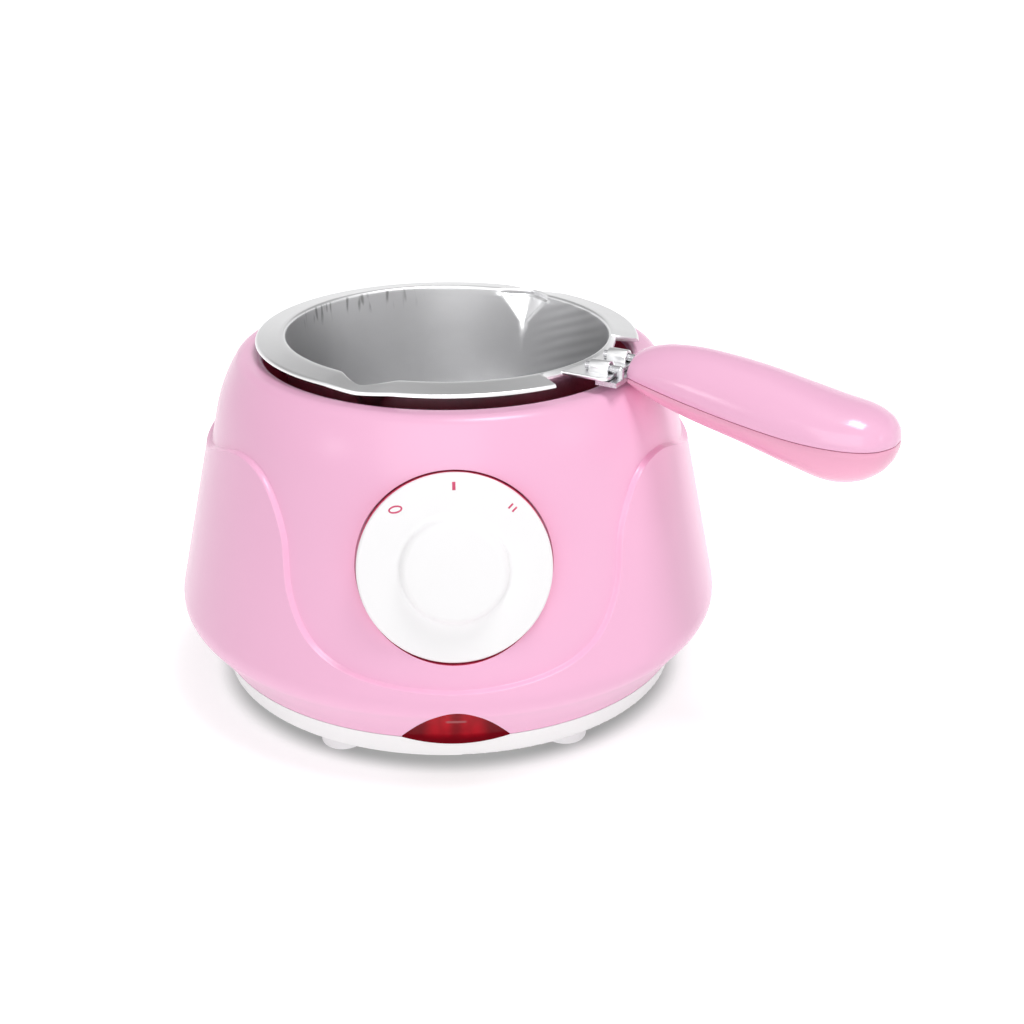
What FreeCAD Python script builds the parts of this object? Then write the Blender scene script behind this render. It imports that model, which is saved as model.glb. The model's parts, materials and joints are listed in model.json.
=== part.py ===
import FreeCAD
import Part
import math
import os

# Electric melting pot: a lift-out pan with a push-on handle, on a small hot plate in a moulded housing.
# Millimetres, +Z up, front towards -Y, origin on the table under the housing's axis.
# Azimuths are degrees from the front, towards +X.

Vec = FreeCAD.Vector
Place = FreeCAD.Placement
Turn = FreeCAD.Rotation
UP = Vec(0, 0, 1)
ORIGIN = Vec(0, 0, 0)

# Housing, outside
housing_top_z = 105.2
belly_radius = 85.0
belly_z = 28.9
belly_round = 8.0
belly_under = 40.0
crown_round = 47.5
crown_lean = 32.8
lip_round = 4.0
lip_land = 4.9
mouth_round = 1.9
seam_z = 11.2
seam_radius = 74.1
flare_bow = 0.3
skirt_proud = 1.5
skirt_top_drop = 13.2
housing_wall = 2.2

# Top edge of the skirt in the front view, from the middle of the apron outwards:
# shares of the belly's radius across and of the housing's height up
apron_edge = (
    (0.0, 0.2994),
    (0.2965, 0.3232),
    (0.4647, 0.3850),
    (0.5412, 0.5038),
    (0.5600, 0.6654),
    (0.6235, 0.7861),
    (0.7082, 0.8175),
    (0.7929, 0.7880),
    (0.8612, 0.7433),
    (0.9118, 0.7281),
)

# Side of the lamp's arch in the front view, from its crest down to its tip:
# shares of its half width across and of its height up
lamp_edge = (
    (0.355, 0.86),
    (0.667, 0.51),
    (1.0, 0.0),
)

# Base pan and feet
pan_bottom_z = 3.7
pan_taper = 2.1
pan_edge_round = 1.0
pan_floor = 2.2
pan_wall = 2.2
pan_ledge = 2.2
seam_gap = 0.2
spigot_height = 3.0
spigot_wall = 2.2
spigot_clearance = 0.3
vent_count = 12
vent_width = 2.6
vent_inner_radius = 14.0
vent_outer_radius = 30.0
foot_radius = 6.4
foot_edge_round = 1.2
foot_stem_radius = 2.5
foot_barb = 0.6
foot_barb_height = 2.2
foot_inset = 7.5
foot_azimuths = (31.0, 149.0, 211.0, 329.0)

# Screws
screw_radius = 1.45
screw_head_radius = 2.8
screw_head_height = 1.6
pilot_radius = 1.5
screw_hole_radius = 1.7
thread_length = 10.0
thread_slack = 1.0
screw_head_edge = 0.8
screw_head_flat = 1.7
boss_radius = 3.8
boss_top_z = 24.0
boss_gap = 0.9
boss_azimuth = 65.0
rib_thickness = 2.4

# Well liner
liner_wall = 1.6
liner_setback = 0.6
liner_rim_width = 3.4
liner_floor_gap = 5.0
liner_floor = 1.8
column_radius = 4.2
column_inset = 4.5
column_azimuth = 90.0
shield_post_radius = 3.2
shield_post_inset = 5.0
shield_post_azimuths = (30.0, 150.0, 270.0)

# Heater stack, from the plate's top face down
plate_top_z = 50.2
plate_proud = 0.6
plate_inset = 7.5
plate_clearance = 0.3
plate_flange = 4.5
plate_flange_thickness = 2.4
stud_radius = 2.5
stud_bottom_z = 36.0
element_inset = 1.5
element_bore = 6.0
element_thickness = 1.6
clamp_overhang = 0.5
clamp_thickness = 1.2
stud_clearance = 0.2
nut_across_flats = 8.0
nut_height = 3.8
thread_clearance = 0.05
thermostat_radius = 8.0
thermostat_height = 6.5
thermostat_inset = 18.0
spade_width = 4.0
spade_thickness = 0.8
spade_length = 6.0
spade_root = 1.0
fuse_radius = 2.0
fuse_length = 12.0
fuse_inset = 18.0
fuse_gap = 0.15
clip_thickness = 0.8
clip_width = 5.0
clip_ear = 4.0
shield_z = 24.0
shield_thickness = 0.8
shield_inset = 10.0
shield_rim = 3.0
shield_ear_radius = 4.4
shield_lead_hole = 3.0

# Dial, in its own frame: front face at height 0, the dial's axis pointing out of the housing
dial_radius = 26.9
dial_z = 65.8
dial_proud = 0.5
dial_rock = 1.35
dial_gap = 0.5
dial_face = 2.4
dial_edge_round = 0.9
dial_rim_wall = 2.0
dial_depth = 6.0
grip_radius = 15.0
grip_height = 3.4
grip_round = 2.2
grip_foot_round = 1.2
hub_radius = 6.5
hub_depth = 5.5
dial_clip_thickness = 0.7
dial_clip_height = 1.6
pocket_floor_gap = 0.5
pocket_floor = 2.2
pocket_wall = 2.0

# Rotary switch behind the dial
switch_side = 22.0
switch_depth = 9.0
switch_wall = 1.5
switch_cavity_radius = 9.0
shaft_radius = 3.0
shaft_clearance = 0.06
shaft_top = 2.0
pivot_radius = 2.0
pivot_length = 1.0
cam_radius = 8.0
cam_thickness = 3.0
shaft_hole_radius = 4.5
switch_screw_offset = 8.4
switch_screw_length = 4.0
contact_pitch = 7.0
contact_seat = 1.5

# Lamp
lamp_half_width = 15.7
lamp_top_z = 24.4
lens_clearance = 0.2
lens_recess = 0.3
lens_back = 1.2
lens_flange = 1.8
neon_radius = 2.6
neon_length = 22.0
neon_tip = 2.0
neon_tip_radius = 1.3
neon_setback = 12.6
neon_z = 16.0
holder_arm = 2.0
holder_depth = 9.0
holder_base = 3.0
holder_over = 4.0
neon_clearance = 0.1
resistor_radius = 1.6
resistor_length = 9.0
resistor_gap = 0.2

# Terminals and cord inlet at the rear
terminal_length = 30.0
terminal_width = 14.0
terminal_height = 13.0
terminal_setback = 35.6
terminal_pitch = 9.0
terminal_bore = 2.0
terminal_screw_radius = 1.8
terminal_screw_height = 3.5
terminal_screw_sink = 0.5
cord_z = 42.0
cord_bore_radius = 3.4
bush_body_radius = 5.2
bush_flange_radius = 7.6
bush_flange = 2.2
bush_flange_round = 0.9
bush_seat = 0.5
bush_clearance = 0.1
bush_tail = 5.0
cord_clamp_setback = 14.6
cord_clamp_length = 26.0
cord_clamp_width = 8.0
cord_clamp_thickness = 3.0
cord_post_height = 7.0
cord_post_radius = 3.6
cord_post_pitch = 18.0

# Internal leads
lead_radius = 0.9
lead_bend = 4.0
lead_gap = 3.5
lead_out = 7.5
lead_start_azimuth = 150.0
lead_end_azimuth = 48.0
lead_front_radius = 64.5
lead_front_azimuths = (26.0, 8.0)
lead_front_rises = (18.0, 24.0)
lead_lamp_x = 5.0
lead_long_run = 20.0
lead_short_run = 12.0
lead_crossing_y = -18.0

# Pot
rim_rise = 5.4
pot_mouth_radius = 49.1
pot_taper = 4.1
well_gap = 6.1
pot_wall = 1.0
pot_corner_round = 9.0
flange_width = 9.1
flange_fall = 0.5
flange_turn_down = 1.3
mouth_edge_round = 0.9
lip_depth = 11.4
lip_half_width = 8.5
lip_edge = 3.4
lip_azimuths = (90.0, 275.0)
lip_sheet = 1.0

# Tab of the flange with its bridges; along the handle
handle_turn = 32.3
tab_reach = 4.0
tab_shift = -5.6
tab_half_width = 11.7
notch_land = 2.2
notch_near_angle = 27.0
notch_far_angle = 23.5
bridge_pitch = 11.8
bridge_count = 2
bridge_length = 6.0
bridge_end_gap = 1.6
bridge_sheet = 0.9

# Handle bracket
prong_radius = 1.1
prong_clearance = 0.15
prong_reach = 1.6
prong_drop_gap = 0.3
leaf_thickness = 1.4
leaf_clearance = 0.2
leaf_overlap = 4.0
leaf_half_width = 10.6
tang_half_width = 5.5
tang_thickness = 1.6
tang_length = 36.0
tang_fall = 6.0

# Handle, with its sections as shares of its length: distance along, drop of the seam, half width,
# height of the crown, depth of the keel
handle_gap = 1.8
handle_seam_drop = 2.3
handle_length = 76.9
handle_sections = (
    (0.0000, 0.0000, 0.1126, 0.0740, 0.0366),
    (0.0524, 0.0105, 0.1230, 0.1080, 0.0576),
    (0.1309, 0.0249, 0.1361, 0.1400, 0.0785),
    (0.2618, 0.0471, 0.1545, 0.1660, 0.0942),
    (0.4712, 0.0785, 0.1754, 0.1740, 0.1113),
    (0.6545, 0.0982, 0.1872, 0.1570, 0.1440),
    (0.7853, 0.1047, 0.1859, 0.1361, 0.1688),
    (0.8901, 0.1060, 0.1649, 0.1204, 0.1492),
    (0.9555, 0.1047, 0.1257, 0.0916, 0.1073),
    (0.9882, 0.1034, 0.0772, 0.0563, 0.0654),
    (1.0000, 0.1034, 0.0366, 0.0262, 0.0314),
)
handle_wall = 2.2
handle_seam_gap = 0.25
tang_clearance = 0.1
handle_screw_places = (12.0, 30.0)
handle_boss_radius = 3.4
handle_thread = 5.0


# Values worked out from the sizes above
pot_floor_radius = pot_mouth_radius - pot_taper
flange_radius = pot_mouth_radius + flange_width
lip_reach = flange_width - lip_edge
notch_inner_radius = pot_mouth_radius + notch_land
tab_end = flange_radius + tab_reach
rim_z = housing_top_z + rim_rise
handle_start = tab_end + handle_gap
handle_seam_z = rim_z - handle_seam_drop
well_mouth_radius = pot_mouth_radius + pot_wall + well_gap
liner_floor_radius = pot_floor_radius + pot_wall + liner_floor_gap
column_circle_radius = liner_floor_radius - column_inset
shield_post_circle_radius = liner_floor_radius - shield_post_inset
shield_radius = liner_floor_radius - shield_inset
plate_radius = pot_floor_radius - plate_inset
element_radius = plate_radius - element_inset
clamp_radius = plate_radius + clamp_overhang
thermostat_x = clamp_radius - thermostat_inset
fuse_x = fuse_inset - clamp_radius
core_seam_radius = seam_radius - skirt_proud
pan_bottom_radius = seam_radius - pan_taper
foot_circle_radius = pan_bottom_radius - foot_inset
spigot_radius = core_seam_radius - housing_wall - spigot_clearance
boss_azimuths = (boss_azimuth, 180 - boss_azimuth, 180 + boss_azimuth, 360 - boss_azimuth)
column_azimuths = (column_azimuth, column_azimuth + 120, column_azimuth + 240)
boss_circle_radius = spigot_radius - spigot_wall - boss_radius - boss_gap
neon_y = neon_setback - core_seam_radius
terminal_y = core_seam_radius - terminal_setback
cord_clamp_y = core_seam_radius - cord_clamp_setback
skirt_top_z = housing_top_z - skirt_top_drop

# The straight wall lies against the belly's round and the crown's round
belly_centre = (belly_radius - skirt_proud - belly_round, belly_z)
lip_centre = (well_mouth_radius + lip_land, housing_top_z - lip_round)
crown_turn = math.radians(crown_lean)
crown_reach = crown_round - lip_round
crown_centre = (
    lip_centre[0] - crown_reach * math.cos(crown_turn),
    lip_centre[1] - crown_reach * math.sin(crown_turn),
)
wall_span = (belly_centre[0] - crown_centre[0], belly_centre[1] - crown_centre[1])
wall_turn = math.atan2(wall_span[1], wall_span[0])
wall_turn += math.acos((crown_round - belly_round) / math.hypot(*wall_span))
cone_lean = math.degrees(wall_turn)
lean_cos = math.cos(wall_turn)
lean_sin = math.sin(wall_turn)
cone_distance = belly_centre[0] * lean_cos + belly_centre[1] * lean_sin + belly_round
pan_floor_z = pan_bottom_z + pan_floor
pan_top_z = seam_z - seam_gap
liner_rim_z = housing_top_z - housing_wall
liner_mouth_radius = well_mouth_radius + liner_setback
liner_floor_z = plate_top_z - plate_proud
liner_under_z = liner_floor_z - liner_floor
plate_flange_z = liner_under_z - plate_flange_thickness
element_z = plate_flange_z - element_thickness
clamp_z = element_z - clamp_thickness
shield_top_z = shield_z + shield_thickness
pocket_depth = dial_depth + pocket_floor_gap
switch_front = -(pocket_depth + pocket_floor)
switch_back = switch_front - switch_depth
pot_corner = (pot_floor_radius + pot_wall - pot_corner_round, plate_top_z + pot_corner_round)
flange_top_z = rim_z - flange_fall
tab_under_z = flange_top_z - pot_wall
prong_z = flange_top_z + prong_clearance + prong_radius
bridge_inner_half = prong_radius + prong_clearance
leaf_top_z = tab_under_z - leaf_clearance
bridge_end = tab_end - bridge_end_gap
prong_post_x = tab_end + prong_drop_gap + prong_radius
dial_tilt = cone_lean - dial_rock
dial_reach = (cone_distance - dial_z * lean_sin) / lean_cos + dial_proud
dial_place = Place(Vec(0, -dial_reach, dial_z), Turn(Vec(1, 0, 0), 90 - dial_tilt))
handle_place = Place(ORIGIN, Turn(UP, -handle_turn))
bush_hole_radius = bush_body_radius + bush_clearance
cord_wall_radius = (cone_distance - cord_z * lean_sin) / lean_cos
cord_place = Place(Vec(0, cord_wall_radius, cord_z), Turn(Vec(1, 0, 0), cone_lean - 90))


def flat(radius, z):
    """Point of a lathe outline."""
    return Vec(radius, 0, z)


def on_round(centre, size, angle):
    """Point on a circle in the outline's plane, at the angle of its normal."""
    turn = math.radians(angle)
    return flat(centre[0] + size * math.cos(turn), centre[1] + size * math.sin(turn))


def round_arc(centre, size, start, end):
    """Arc in the outline's plane between two normal angles."""
    middle = (start + end) / 2
    ends = [on_round(centre, size, angle) for angle in (start, middle, end)]
    return Part.Arc(*ends)


def outline(*items):
    """Closed wire through points and curves in order, with straight edges wherever they do not meet."""
    edges = []
    first = None
    last = None
    for item in items:
        is_point = isinstance(item, Vec)
        start = item if is_point else item.StartPoint
        end = item if is_point else item.EndPoint
        if last is not None and last.distanceToPoint(start) > 1e-6:
            edges.append(Part.makeLine(last, start))
        if not is_point:
            edges.append(item.toShape())
        first = start if first is None else first
        last = end
    if last.distanceToPoint(first) > 1e-6:
        edges.append(Part.makeLine(last, first))
    return Part.Wire(edges)


def lathe(*items):
    """Solid turned about Z from a closed outline."""
    return Part.Face(outline(*items)).revolve(ORIGIN, UP, 360)


def prism(direction, *items):
    """Solid drawn from a closed outline along a direction."""
    return Part.Face(outline(*items)).extrude(direction)


def tube(inner, outer, bottom, top):
    """Ring about Z."""
    return lathe(flat(inner, bottom), flat(outer, bottom), flat(outer, top), flat(inner, top))


def rod(radius, bottom, top, x=0.0, y=0.0):
    """Upright cylinder."""
    return Part.makeCylinder(radius, top - bottom, Vec(x, y, bottom), UP)


def block(low, high):
    """Box between two corners."""
    size = high - low
    return Part.makeBox(size.x, size.y, size.z, low)


def placed(shape, place):
    """Copy of a shape moved by a placement."""
    copy = shape.copy()
    copy.Placement = place.multiply(copy.Placement)
    return copy


def around(radius, azimuth):
    """Point in plan at an azimuth from the front."""
    turn = math.radians(azimuth)
    return Vec(radius * math.sin(turn), -radius * math.cos(turn), 0)


def at_azimuth(shape, azimuth):
    """Shape drawn along +X, turned to an azimuth from the front."""
    return placed(shape, Place(ORIGIN, Turn(UP, azimuth - 90)))


def joined(shapes):
    """One solid from pieces that overlap."""
    whole = shapes[0]
    if len(shapes) > 1:
        whole = whole.fuse(shapes[1:])
    return whole.removeSplitter()


def screw(length):
    """Pan-head screw along Z: head above 0, shank below."""
    return lathe(
        flat(0, -length),
        flat(screw_radius, -length),
        flat(screw_radius, 0),
        flat(screw_head_radius, 0),
        flat(screw_head_radius, screw_head_edge),
        flat(screw_head_flat, screw_head_height),
        flat(0, screw_head_height),
    )


def screws_from_below(points, seat_z, length):
    """Group of separate screws driven upwards into bosses."""
    flip = Turn(Vec(1, 0, 0), 180)
    seats = [Vec(p.x, p.y, seat_z) for p in points]
    return Part.makeCompound([placed(screw(length), Place(seat, flip)) for seat in seats])


# Housing
def flare(offset):
    """Concave run from the seam out to the belly, parallel to the core at an offset."""
    foot = flat(core_seam_radius + offset, seam_z)
    under = on_round(belly_centre, belly_round + offset, -belly_under)
    chord = under - foot
    bow = Vec(-chord.z, 0, chord.x).normalize() * flare_bow
    return Part.Arc(foot, (foot + under) * 0.5 + bow, under)


def belly(offset):
    return round_arc(belly_centre, belly_round + offset, -belly_under, cone_lean)


def crown(offset):
    return round_arc(crown_centre, crown_round + offset, cone_lean, crown_lean)


def top_lip(offset):
    return round_arc(lip_centre, lip_round + offset, crown_lean, 90)


def cone_radius(offset, z):
    """Radius of the straight side wall at a height."""
    return (cone_distance + offset - z * lean_sin) / lean_cos


def housing_core():
    start = on_round(belly_centre, belly_round, cone_lean)
    return lathe(flat(0, start.z), start, crown(0), top_lip(0), flat(0, housing_top_z))


def housing_skirt():
    top = flat(cone_radius(skirt_proud, skirt_top_z), skirt_top_z)
    layer = lathe(flat(0, seam_z), flare(skirt_proud), belly(skirt_proud), top, flat(0, skirt_top_z))
    right = [Vec(across * belly_radius, 0, up * housing_top_z) for across, up in apron_edge]
    left = [Vec(-p.x, 0, p.z) for p in reversed(right[1:])]
    edge = Part.BSplineCurve()
    edge.interpolate(left + right)
    side = right[-1].x
    high = 2 * skirt_top_z
    above = prism(Vec(0, 4 * belly_radius, 0), edge, Vec(side, 0, high), Vec(-side, 0, high))
    above.translate(Vec(0, -2 * belly_radius, 0))
    return layer.cut(above)


def housing_inside():
    bottom = seam_z - housing_wall
    foot = core_seam_radius - housing_wall
    return lathe(
        flat(0, bottom),
        flat(foot, bottom),
        flare(-housing_wall),
        belly(-housing_wall),
        crown(-housing_wall),
        top_lip(-housing_wall),
        flat(0, housing_top_z - housing_wall),
    )


def mouth_cut():
    bottom = lip_centre[1] - lip_round
    centre = (well_mouth_radius + mouth_round, housing_top_z - mouth_round)
    above = housing_top_z + lip_round
    return lathe(
        flat(0, bottom),
        flat(well_mouth_radius, bottom),
        round_arc(centre, mouth_round, 180, 90),
        flat(centre[0], above),
        flat(0, above),
    )


def dial_cylinder(radius, low, high):
    return placed(rod(radius, low, high), dial_place)


def switch_screw_points():
    return [Vec(side * switch_screw_offset, -side * switch_screw_offset, 0) for side in (-1, 1)]


def lamp_arch(margin, bottom):
    """Pointed arch through the front wall, drawn out by a margin and closed below at a height."""
    half = lamp_half_width + margin
    rise = lamp_top_z + margin - seam_z
    back = -belly_radius / 2
    right = [Vec(across * half, back, seam_z + up * rise) for across, up in lamp_edge]
    left = [Vec(-point.x, back, point.z) for point in reversed(right)]
    curve = Part.BSplineCurve()
    curve.interpolate(left + [Vec(0, back, seam_z + rise)] + right)
    return prism(Vec(0, back, 0), Vec(-half, back, bottom), curve, Vec(half, back, bottom))


def housing():
    outer = housing_core().fuse(housing_skirt())
    pocket_radius = dial_radius + dial_gap
    cup = dial_cylinder(pocket_radius + pocket_wall, switch_front, dial_reach).common(outer)
    shell = outer.cut(housing_inside()).fuse(cup)
    ribs = []
    for azimuth in boss_azimuths:
        low = Vec(boss_circle_radius, -rib_thickness / 2, seam_z + spigot_height + spigot_clearance)
        rib = at_azimuth(block(low, Vec(belly_radius, rib_thickness / 2, boss_top_z)), azimuth)
        spot = around(boss_circle_radius, azimuth)
        ribs.append(rib.common(outer))
        ribs.append(rod(boss_radius, pan_floor_z, boss_top_z, spot.x, spot.y))
    shell = joined([shell] + ribs)
    cuts = [
        mouth_cut(),
        dial_cylinder(pocket_radius, -pocket_depth, dial_reach),
        dial_cylinder(shaft_hole_radius, switch_front, 0),
        lamp_arch(0, pan_bottom_z),
        placed(rod(bush_hole_radius, -bush_flange_radius, bush_flange_radius), cord_place),
    ]
    for point in switch_screw_points():
        cuts.append(placed(rod(screw_hole_radius, switch_front, 0, point.x, point.y), dial_place))
    for azimuth in boss_azimuths:
        spot = around(boss_circle_radius, azimuth)
        cuts.append(rod(pilot_radius, 0, pan_floor_z + thread_length, spot.x, spot.y))
    return shell.cut(cuts)


# Base pan and feet
def base_pan():
    edge = (pan_bottom_radius - pan_edge_round, pan_bottom_z + pan_edge_round)
    ledge_z = pan_top_z - pan_ledge
    pan = lathe(
        flat(0, pan_bottom_z),
        round_arc(edge, pan_edge_round, -90, 0),
        flat(seam_radius, pan_top_z),
        flat(spigot_radius, pan_top_z),
        flat(spigot_radius, seam_z + spigot_height),
        flat(spigot_radius - spigot_wall, seam_z + spigot_height),
        flat(spigot_radius - spigot_wall, ledge_z),
        flat(seam_radius - pan_wall, ledge_z),
        flat(pan_bottom_radius - pan_wall, pan_floor_z),
        flat(0, pan_floor_z),
    )
    posts = [rod(cord_post_radius, pan_bottom_z, pan_floor_z + cord_post_height, x, cord_clamp_y)
             for x in cord_post_xs()]
    pan = joined([pan] + posts)
    lens_side = lamp_half_width + lens_flange + spigot_clearance
    cuts = [block(Vec(-lens_side, -seam_radius, pan_top_z), Vec(lens_side, -seam_radius / 2, belly_z))]
    for azimuth in foot_azimuths:
        spot = around(foot_circle_radius, azimuth)
        cuts.append(rod(foot_stem_radius, 0, pan_floor_z, spot.x, spot.y))
    for spot in boss_points() + column_points():
        cuts.append(rod(screw_hole_radius, 0, pan_floor_z, spot.x, spot.y))
    for x in cord_post_xs():
        cuts.append(rod(pilot_radius, pan_floor_z, pan_floor_z + cord_post_height, x, cord_clamp_y))
    slot_low = Vec(vent_inner_radius, -vent_width / 2, 0)
    slot = block(slot_low, Vec(vent_outer_radius, vent_width / 2, pan_floor_z))
    for step in range(vent_count):
        cuts.append(at_azimuth(slot, step * 360.0 / vent_count))
    return pan.cut(cuts)


def boss_points():
    return [around(boss_circle_radius, azimuth) for azimuth in boss_azimuths]


def column_points():
    return [around(column_circle_radius, azimuth) for azimuth in column_azimuths]


def shield_post_points():
    return [around(shield_post_circle_radius, azimuth) for azimuth in shield_post_azimuths]


def cord_post_xs():
    return (-cord_post_pitch / 2, cord_post_pitch / 2)


def feet():
    edge = (foot_radius - foot_edge_round, foot_edge_round)
    foot = lathe(
        flat(0, 0),
        round_arc(edge, foot_edge_round, -90, 0),
        flat(foot_radius, pan_bottom_z),
        flat(foot_stem_radius, pan_bottom_z),
        flat(foot_stem_radius, pan_floor_z),
        flat(foot_stem_radius + foot_barb, pan_floor_z),
        flat(foot_stem_radius - foot_barb, pan_floor_z + foot_barb_height),
        flat(0, pan_floor_z + foot_barb_height),
    )
    spots = [around(foot_circle_radius, azimuth) for azimuth in foot_azimuths]
    return Part.makeCompound([placed(foot, Place(spot, Turn())) for spot in spots])


def housing_screws():
    return screws_from_below(boss_points(), pan_bottom_z, pan_floor + thread_length - thread_slack)


def liner_screws():
    return screws_from_below(column_points(), pan_bottom_z, pan_floor + thread_length - thread_slack)


# Well liner
def well_liner():
    rim_under = liner_rim_z - liner_wall
    cup = lathe(
        flat(liner_mouth_radius, liner_rim_z),
        flat(liner_mouth_radius + liner_rim_width, liner_rim_z),
        flat(liner_mouth_radius + liner_rim_width, rim_under),
        flat(liner_mouth_radius + liner_wall, rim_under),
        flat(liner_floor_radius + liner_wall, liner_under_z),
        flat(plate_radius + plate_clearance, liner_under_z),
        flat(plate_radius + plate_clearance, liner_floor_z),
        flat(liner_floor_radius, liner_floor_z),
    )
    middle = liner_floor_z - liner_floor / 2
    legs = [rod(column_radius, pan_floor_z, middle, p.x, p.y) for p in column_points()]
    legs += [rod(shield_post_radius, shield_top_z, middle, p.x, p.y) for p in shield_post_points()]
    holes = [rod(pilot_radius, pan_floor_z, pan_floor_z + thread_length, p.x, p.y)
             for p in column_points()]
    holes += [rod(pilot_radius, shield_top_z, shield_top_z + thread_length, p.x, p.y)
              for p in shield_post_points()]
    return joined([cup] + legs).cut(holes)


# Heater stack
def heating_plate():
    return lathe(
        flat(0, stud_bottom_z),
        flat(stud_radius, stud_bottom_z),
        flat(stud_radius, plate_flange_z),
        flat(plate_radius + plate_flange, plate_flange_z),
        flat(plate_radius + plate_flange, liner_under_z),
        flat(plate_radius, liner_under_z),
        flat(plate_radius, plate_top_z),
        flat(0, plate_top_z),
    )


def heating_element():
    return tube(element_bore, element_radius, element_z, plate_flange_z)


def clamp_plate():
    return tube(stud_radius + stud_clearance, clamp_radius, clamp_z, element_z)


def clamp_nut():
    corner = nut_across_flats / math.sqrt(3)
    corners = [around(corner, 60 * n) + Vec(0, 0, clamp_z) for n in range(6)]
    body = prism(Vec(0, 0, -nut_height), *corners)
    return body.cut(rod(stud_radius + thread_clearance, clamp_z - nut_height, clamp_z))


def thermostat():
    bottom = clamp_z - thermostat_height
    pieces = [rod(thermostat_radius, bottom, clamp_z, thermostat_x)]
    for side in (-1, 1):
        y = side * thermostat_radius / 2
        low = Vec(thermostat_x - spade_width / 2, y - spade_thickness / 2, bottom - spade_length)
        pieces.append(block(low, low + Vec(spade_width, spade_thickness, spade_length + spade_root)))
    return joined(pieces)


def fuse_axis_z():
    return clamp_z - fuse_radius - fuse_gap


def thermal_fuse():
    start = Vec(fuse_x, -fuse_length / 2, fuse_axis_z())
    return Part.makeCylinder(fuse_radius, fuse_length, start, Vec(0, 1, 0))


def fuse_clip():
    inner = fuse_radius + fuse_gap
    outer = inner + clip_thickness
    start = Vec(fuse_x, -clip_width / 2, fuse_axis_z())
    along = Vec(0, 1, 0)
    saddle = Part.makeCylinder(outer, clip_width, start, along)
    sides = block(start - Vec(outer, 0, 0), Vec(fuse_x + outer, clip_width / 2, clamp_z))
    ears = block(
        Vec(fuse_x - outer - clip_ear, -clip_width / 2, clamp_z - clip_thickness),
        Vec(fuse_x + outer + clip_ear, clip_width / 2, clamp_z),
    )
    hollow = Part.makeCylinder(inner, clip_width, start, along)
    slot = block(start - Vec(inner, 0, 0), Vec(fuse_x + inner, clip_width / 2, clamp_z))
    top_low = Vec(fuse_x - outer, -clip_width / 2, clamp_z)
    top = block(top_low, top_low + Vec(2 * outer, clip_width, outer))
    return joined([saddle, sides, ears]).cut([hollow, slot, top])


def heat_shield():
    inner = shield_radius - shield_thickness
    dish = lathe(
        flat(0, shield_z),
        flat(shield_radius, shield_z),
        flat(shield_radius, shield_top_z + shield_rim),
        flat(inner, shield_top_z + shield_rim),
        flat(inner, shield_top_z),
        flat(0, shield_top_z),
    )
    ears = [rod(shield_ear_radius, shield_z, shield_top_z, p.x, p.y) for p in shield_post_points()]
    tongue_low = Vec(0, -shield_ear_radius, shield_z)
    tongue = block(tongue_low, Vec(shield_post_circle_radius, shield_ear_radius, shield_top_z))
    ears += [at_azimuth(tongue, azimuth) for azimuth in shield_post_azimuths]
    holes = [rod(screw_hole_radius, shield_z, shield_top_z, p.x, p.y) for p in shield_post_points()]
    holes.append(rod(shield_lead_hole, shield_z, shield_top_z, thermostat_x, thermostat_radius / 2))
    return joined([dish] + ears).cut(holes)


def shield_screws():
    return screws_from_below(shield_post_points(), shield_z, shield_thickness + thread_length - thread_slack)


# Dial and switch, in the dial's frame
def dial_knob():
    edge = (dial_radius - dial_edge_round, -dial_edge_round)
    crest = (grip_radius - grip_round, grip_height - grip_round)
    hollow = (grip_radius + grip_foot_round, grip_foot_round)
    knob = lathe(
        flat(0, grip_height),
        round_arc(crest, grip_round, 90, 0),
        round_arc(hollow, grip_foot_round, 180, 270),
        round_arc(edge, dial_edge_round, 90, 0),
        flat(dial_radius, -dial_depth),
        flat(dial_radius - dial_rim_wall, -dial_depth),
        flat(dial_radius - dial_rim_wall, -dial_face),
        flat(hub_radius, -dial_face),
        flat(hub_radius, -hub_depth),
        flat(shaft_radius, -hub_depth),
        flat(shaft_radius, -shaft_top),
        flat(0, -shaft_top),
    )
    return placed(knob, dial_place)


def switch_shaft():
    back = switch_back + switch_wall
    cam_top = back + (switch_depth - 2 * switch_wall + cam_thickness) / 2
    shaft = lathe(
        flat(0, -shaft_top),
        flat(shaft_radius, -shaft_top),
        flat(shaft_radius, cam_top),
        flat(cam_radius, cam_top),
        flat(cam_radius, cam_top - cam_thickness),
        flat(shaft_radius, cam_top - cam_thickness),
        flat(shaft_radius, back + shaft_clearance),
        flat(pivot_radius, back + shaft_clearance),
        flat(pivot_radius, back - pivot_length),
        flat(0, back - pivot_length),
    )
    return placed(shaft, dial_place)


def dial_clip():
    ring = tube(hub_radius, hub_radius + dial_clip_thickness, -hub_depth, -hub_depth + dial_clip_height)
    return placed(ring, dial_place)


def switch_body():
    half = switch_side / 2
    front = switch_front - switch_wall
    back = switch_back + switch_wall
    case = block(Vec(-half, -half, switch_back), Vec(half, half, switch_front))
    holes = [
        rod(switch_cavity_radius, back, front),
        rod(shaft_radius + shaft_clearance, front, switch_front),
        rod(pivot_radius + shaft_clearance, back - pivot_length - shaft_clearance, back),
    ]
    for point in switch_screw_points():
        bottom = switch_front - switch_screw_length
        holes.append(rod(pilot_radius, bottom, switch_front, point.x, point.y))
    for x in contact_xs():
        holes.append(contact_blade(x))
    return placed(case.cut(holes), dial_place)


def contact_xs():
    return (-contact_pitch, 0.0, contact_pitch)


def contact_blade(x):
    half = switch_side / 2
    middle = (switch_front + switch_back) / 2
    low = Vec(x - spade_width / 2, -half - spade_length, middle - spade_thickness / 2)
    return block(low, Vec(x + spade_width / 2, -half + contact_seat, middle + spade_thickness / 2))


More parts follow.
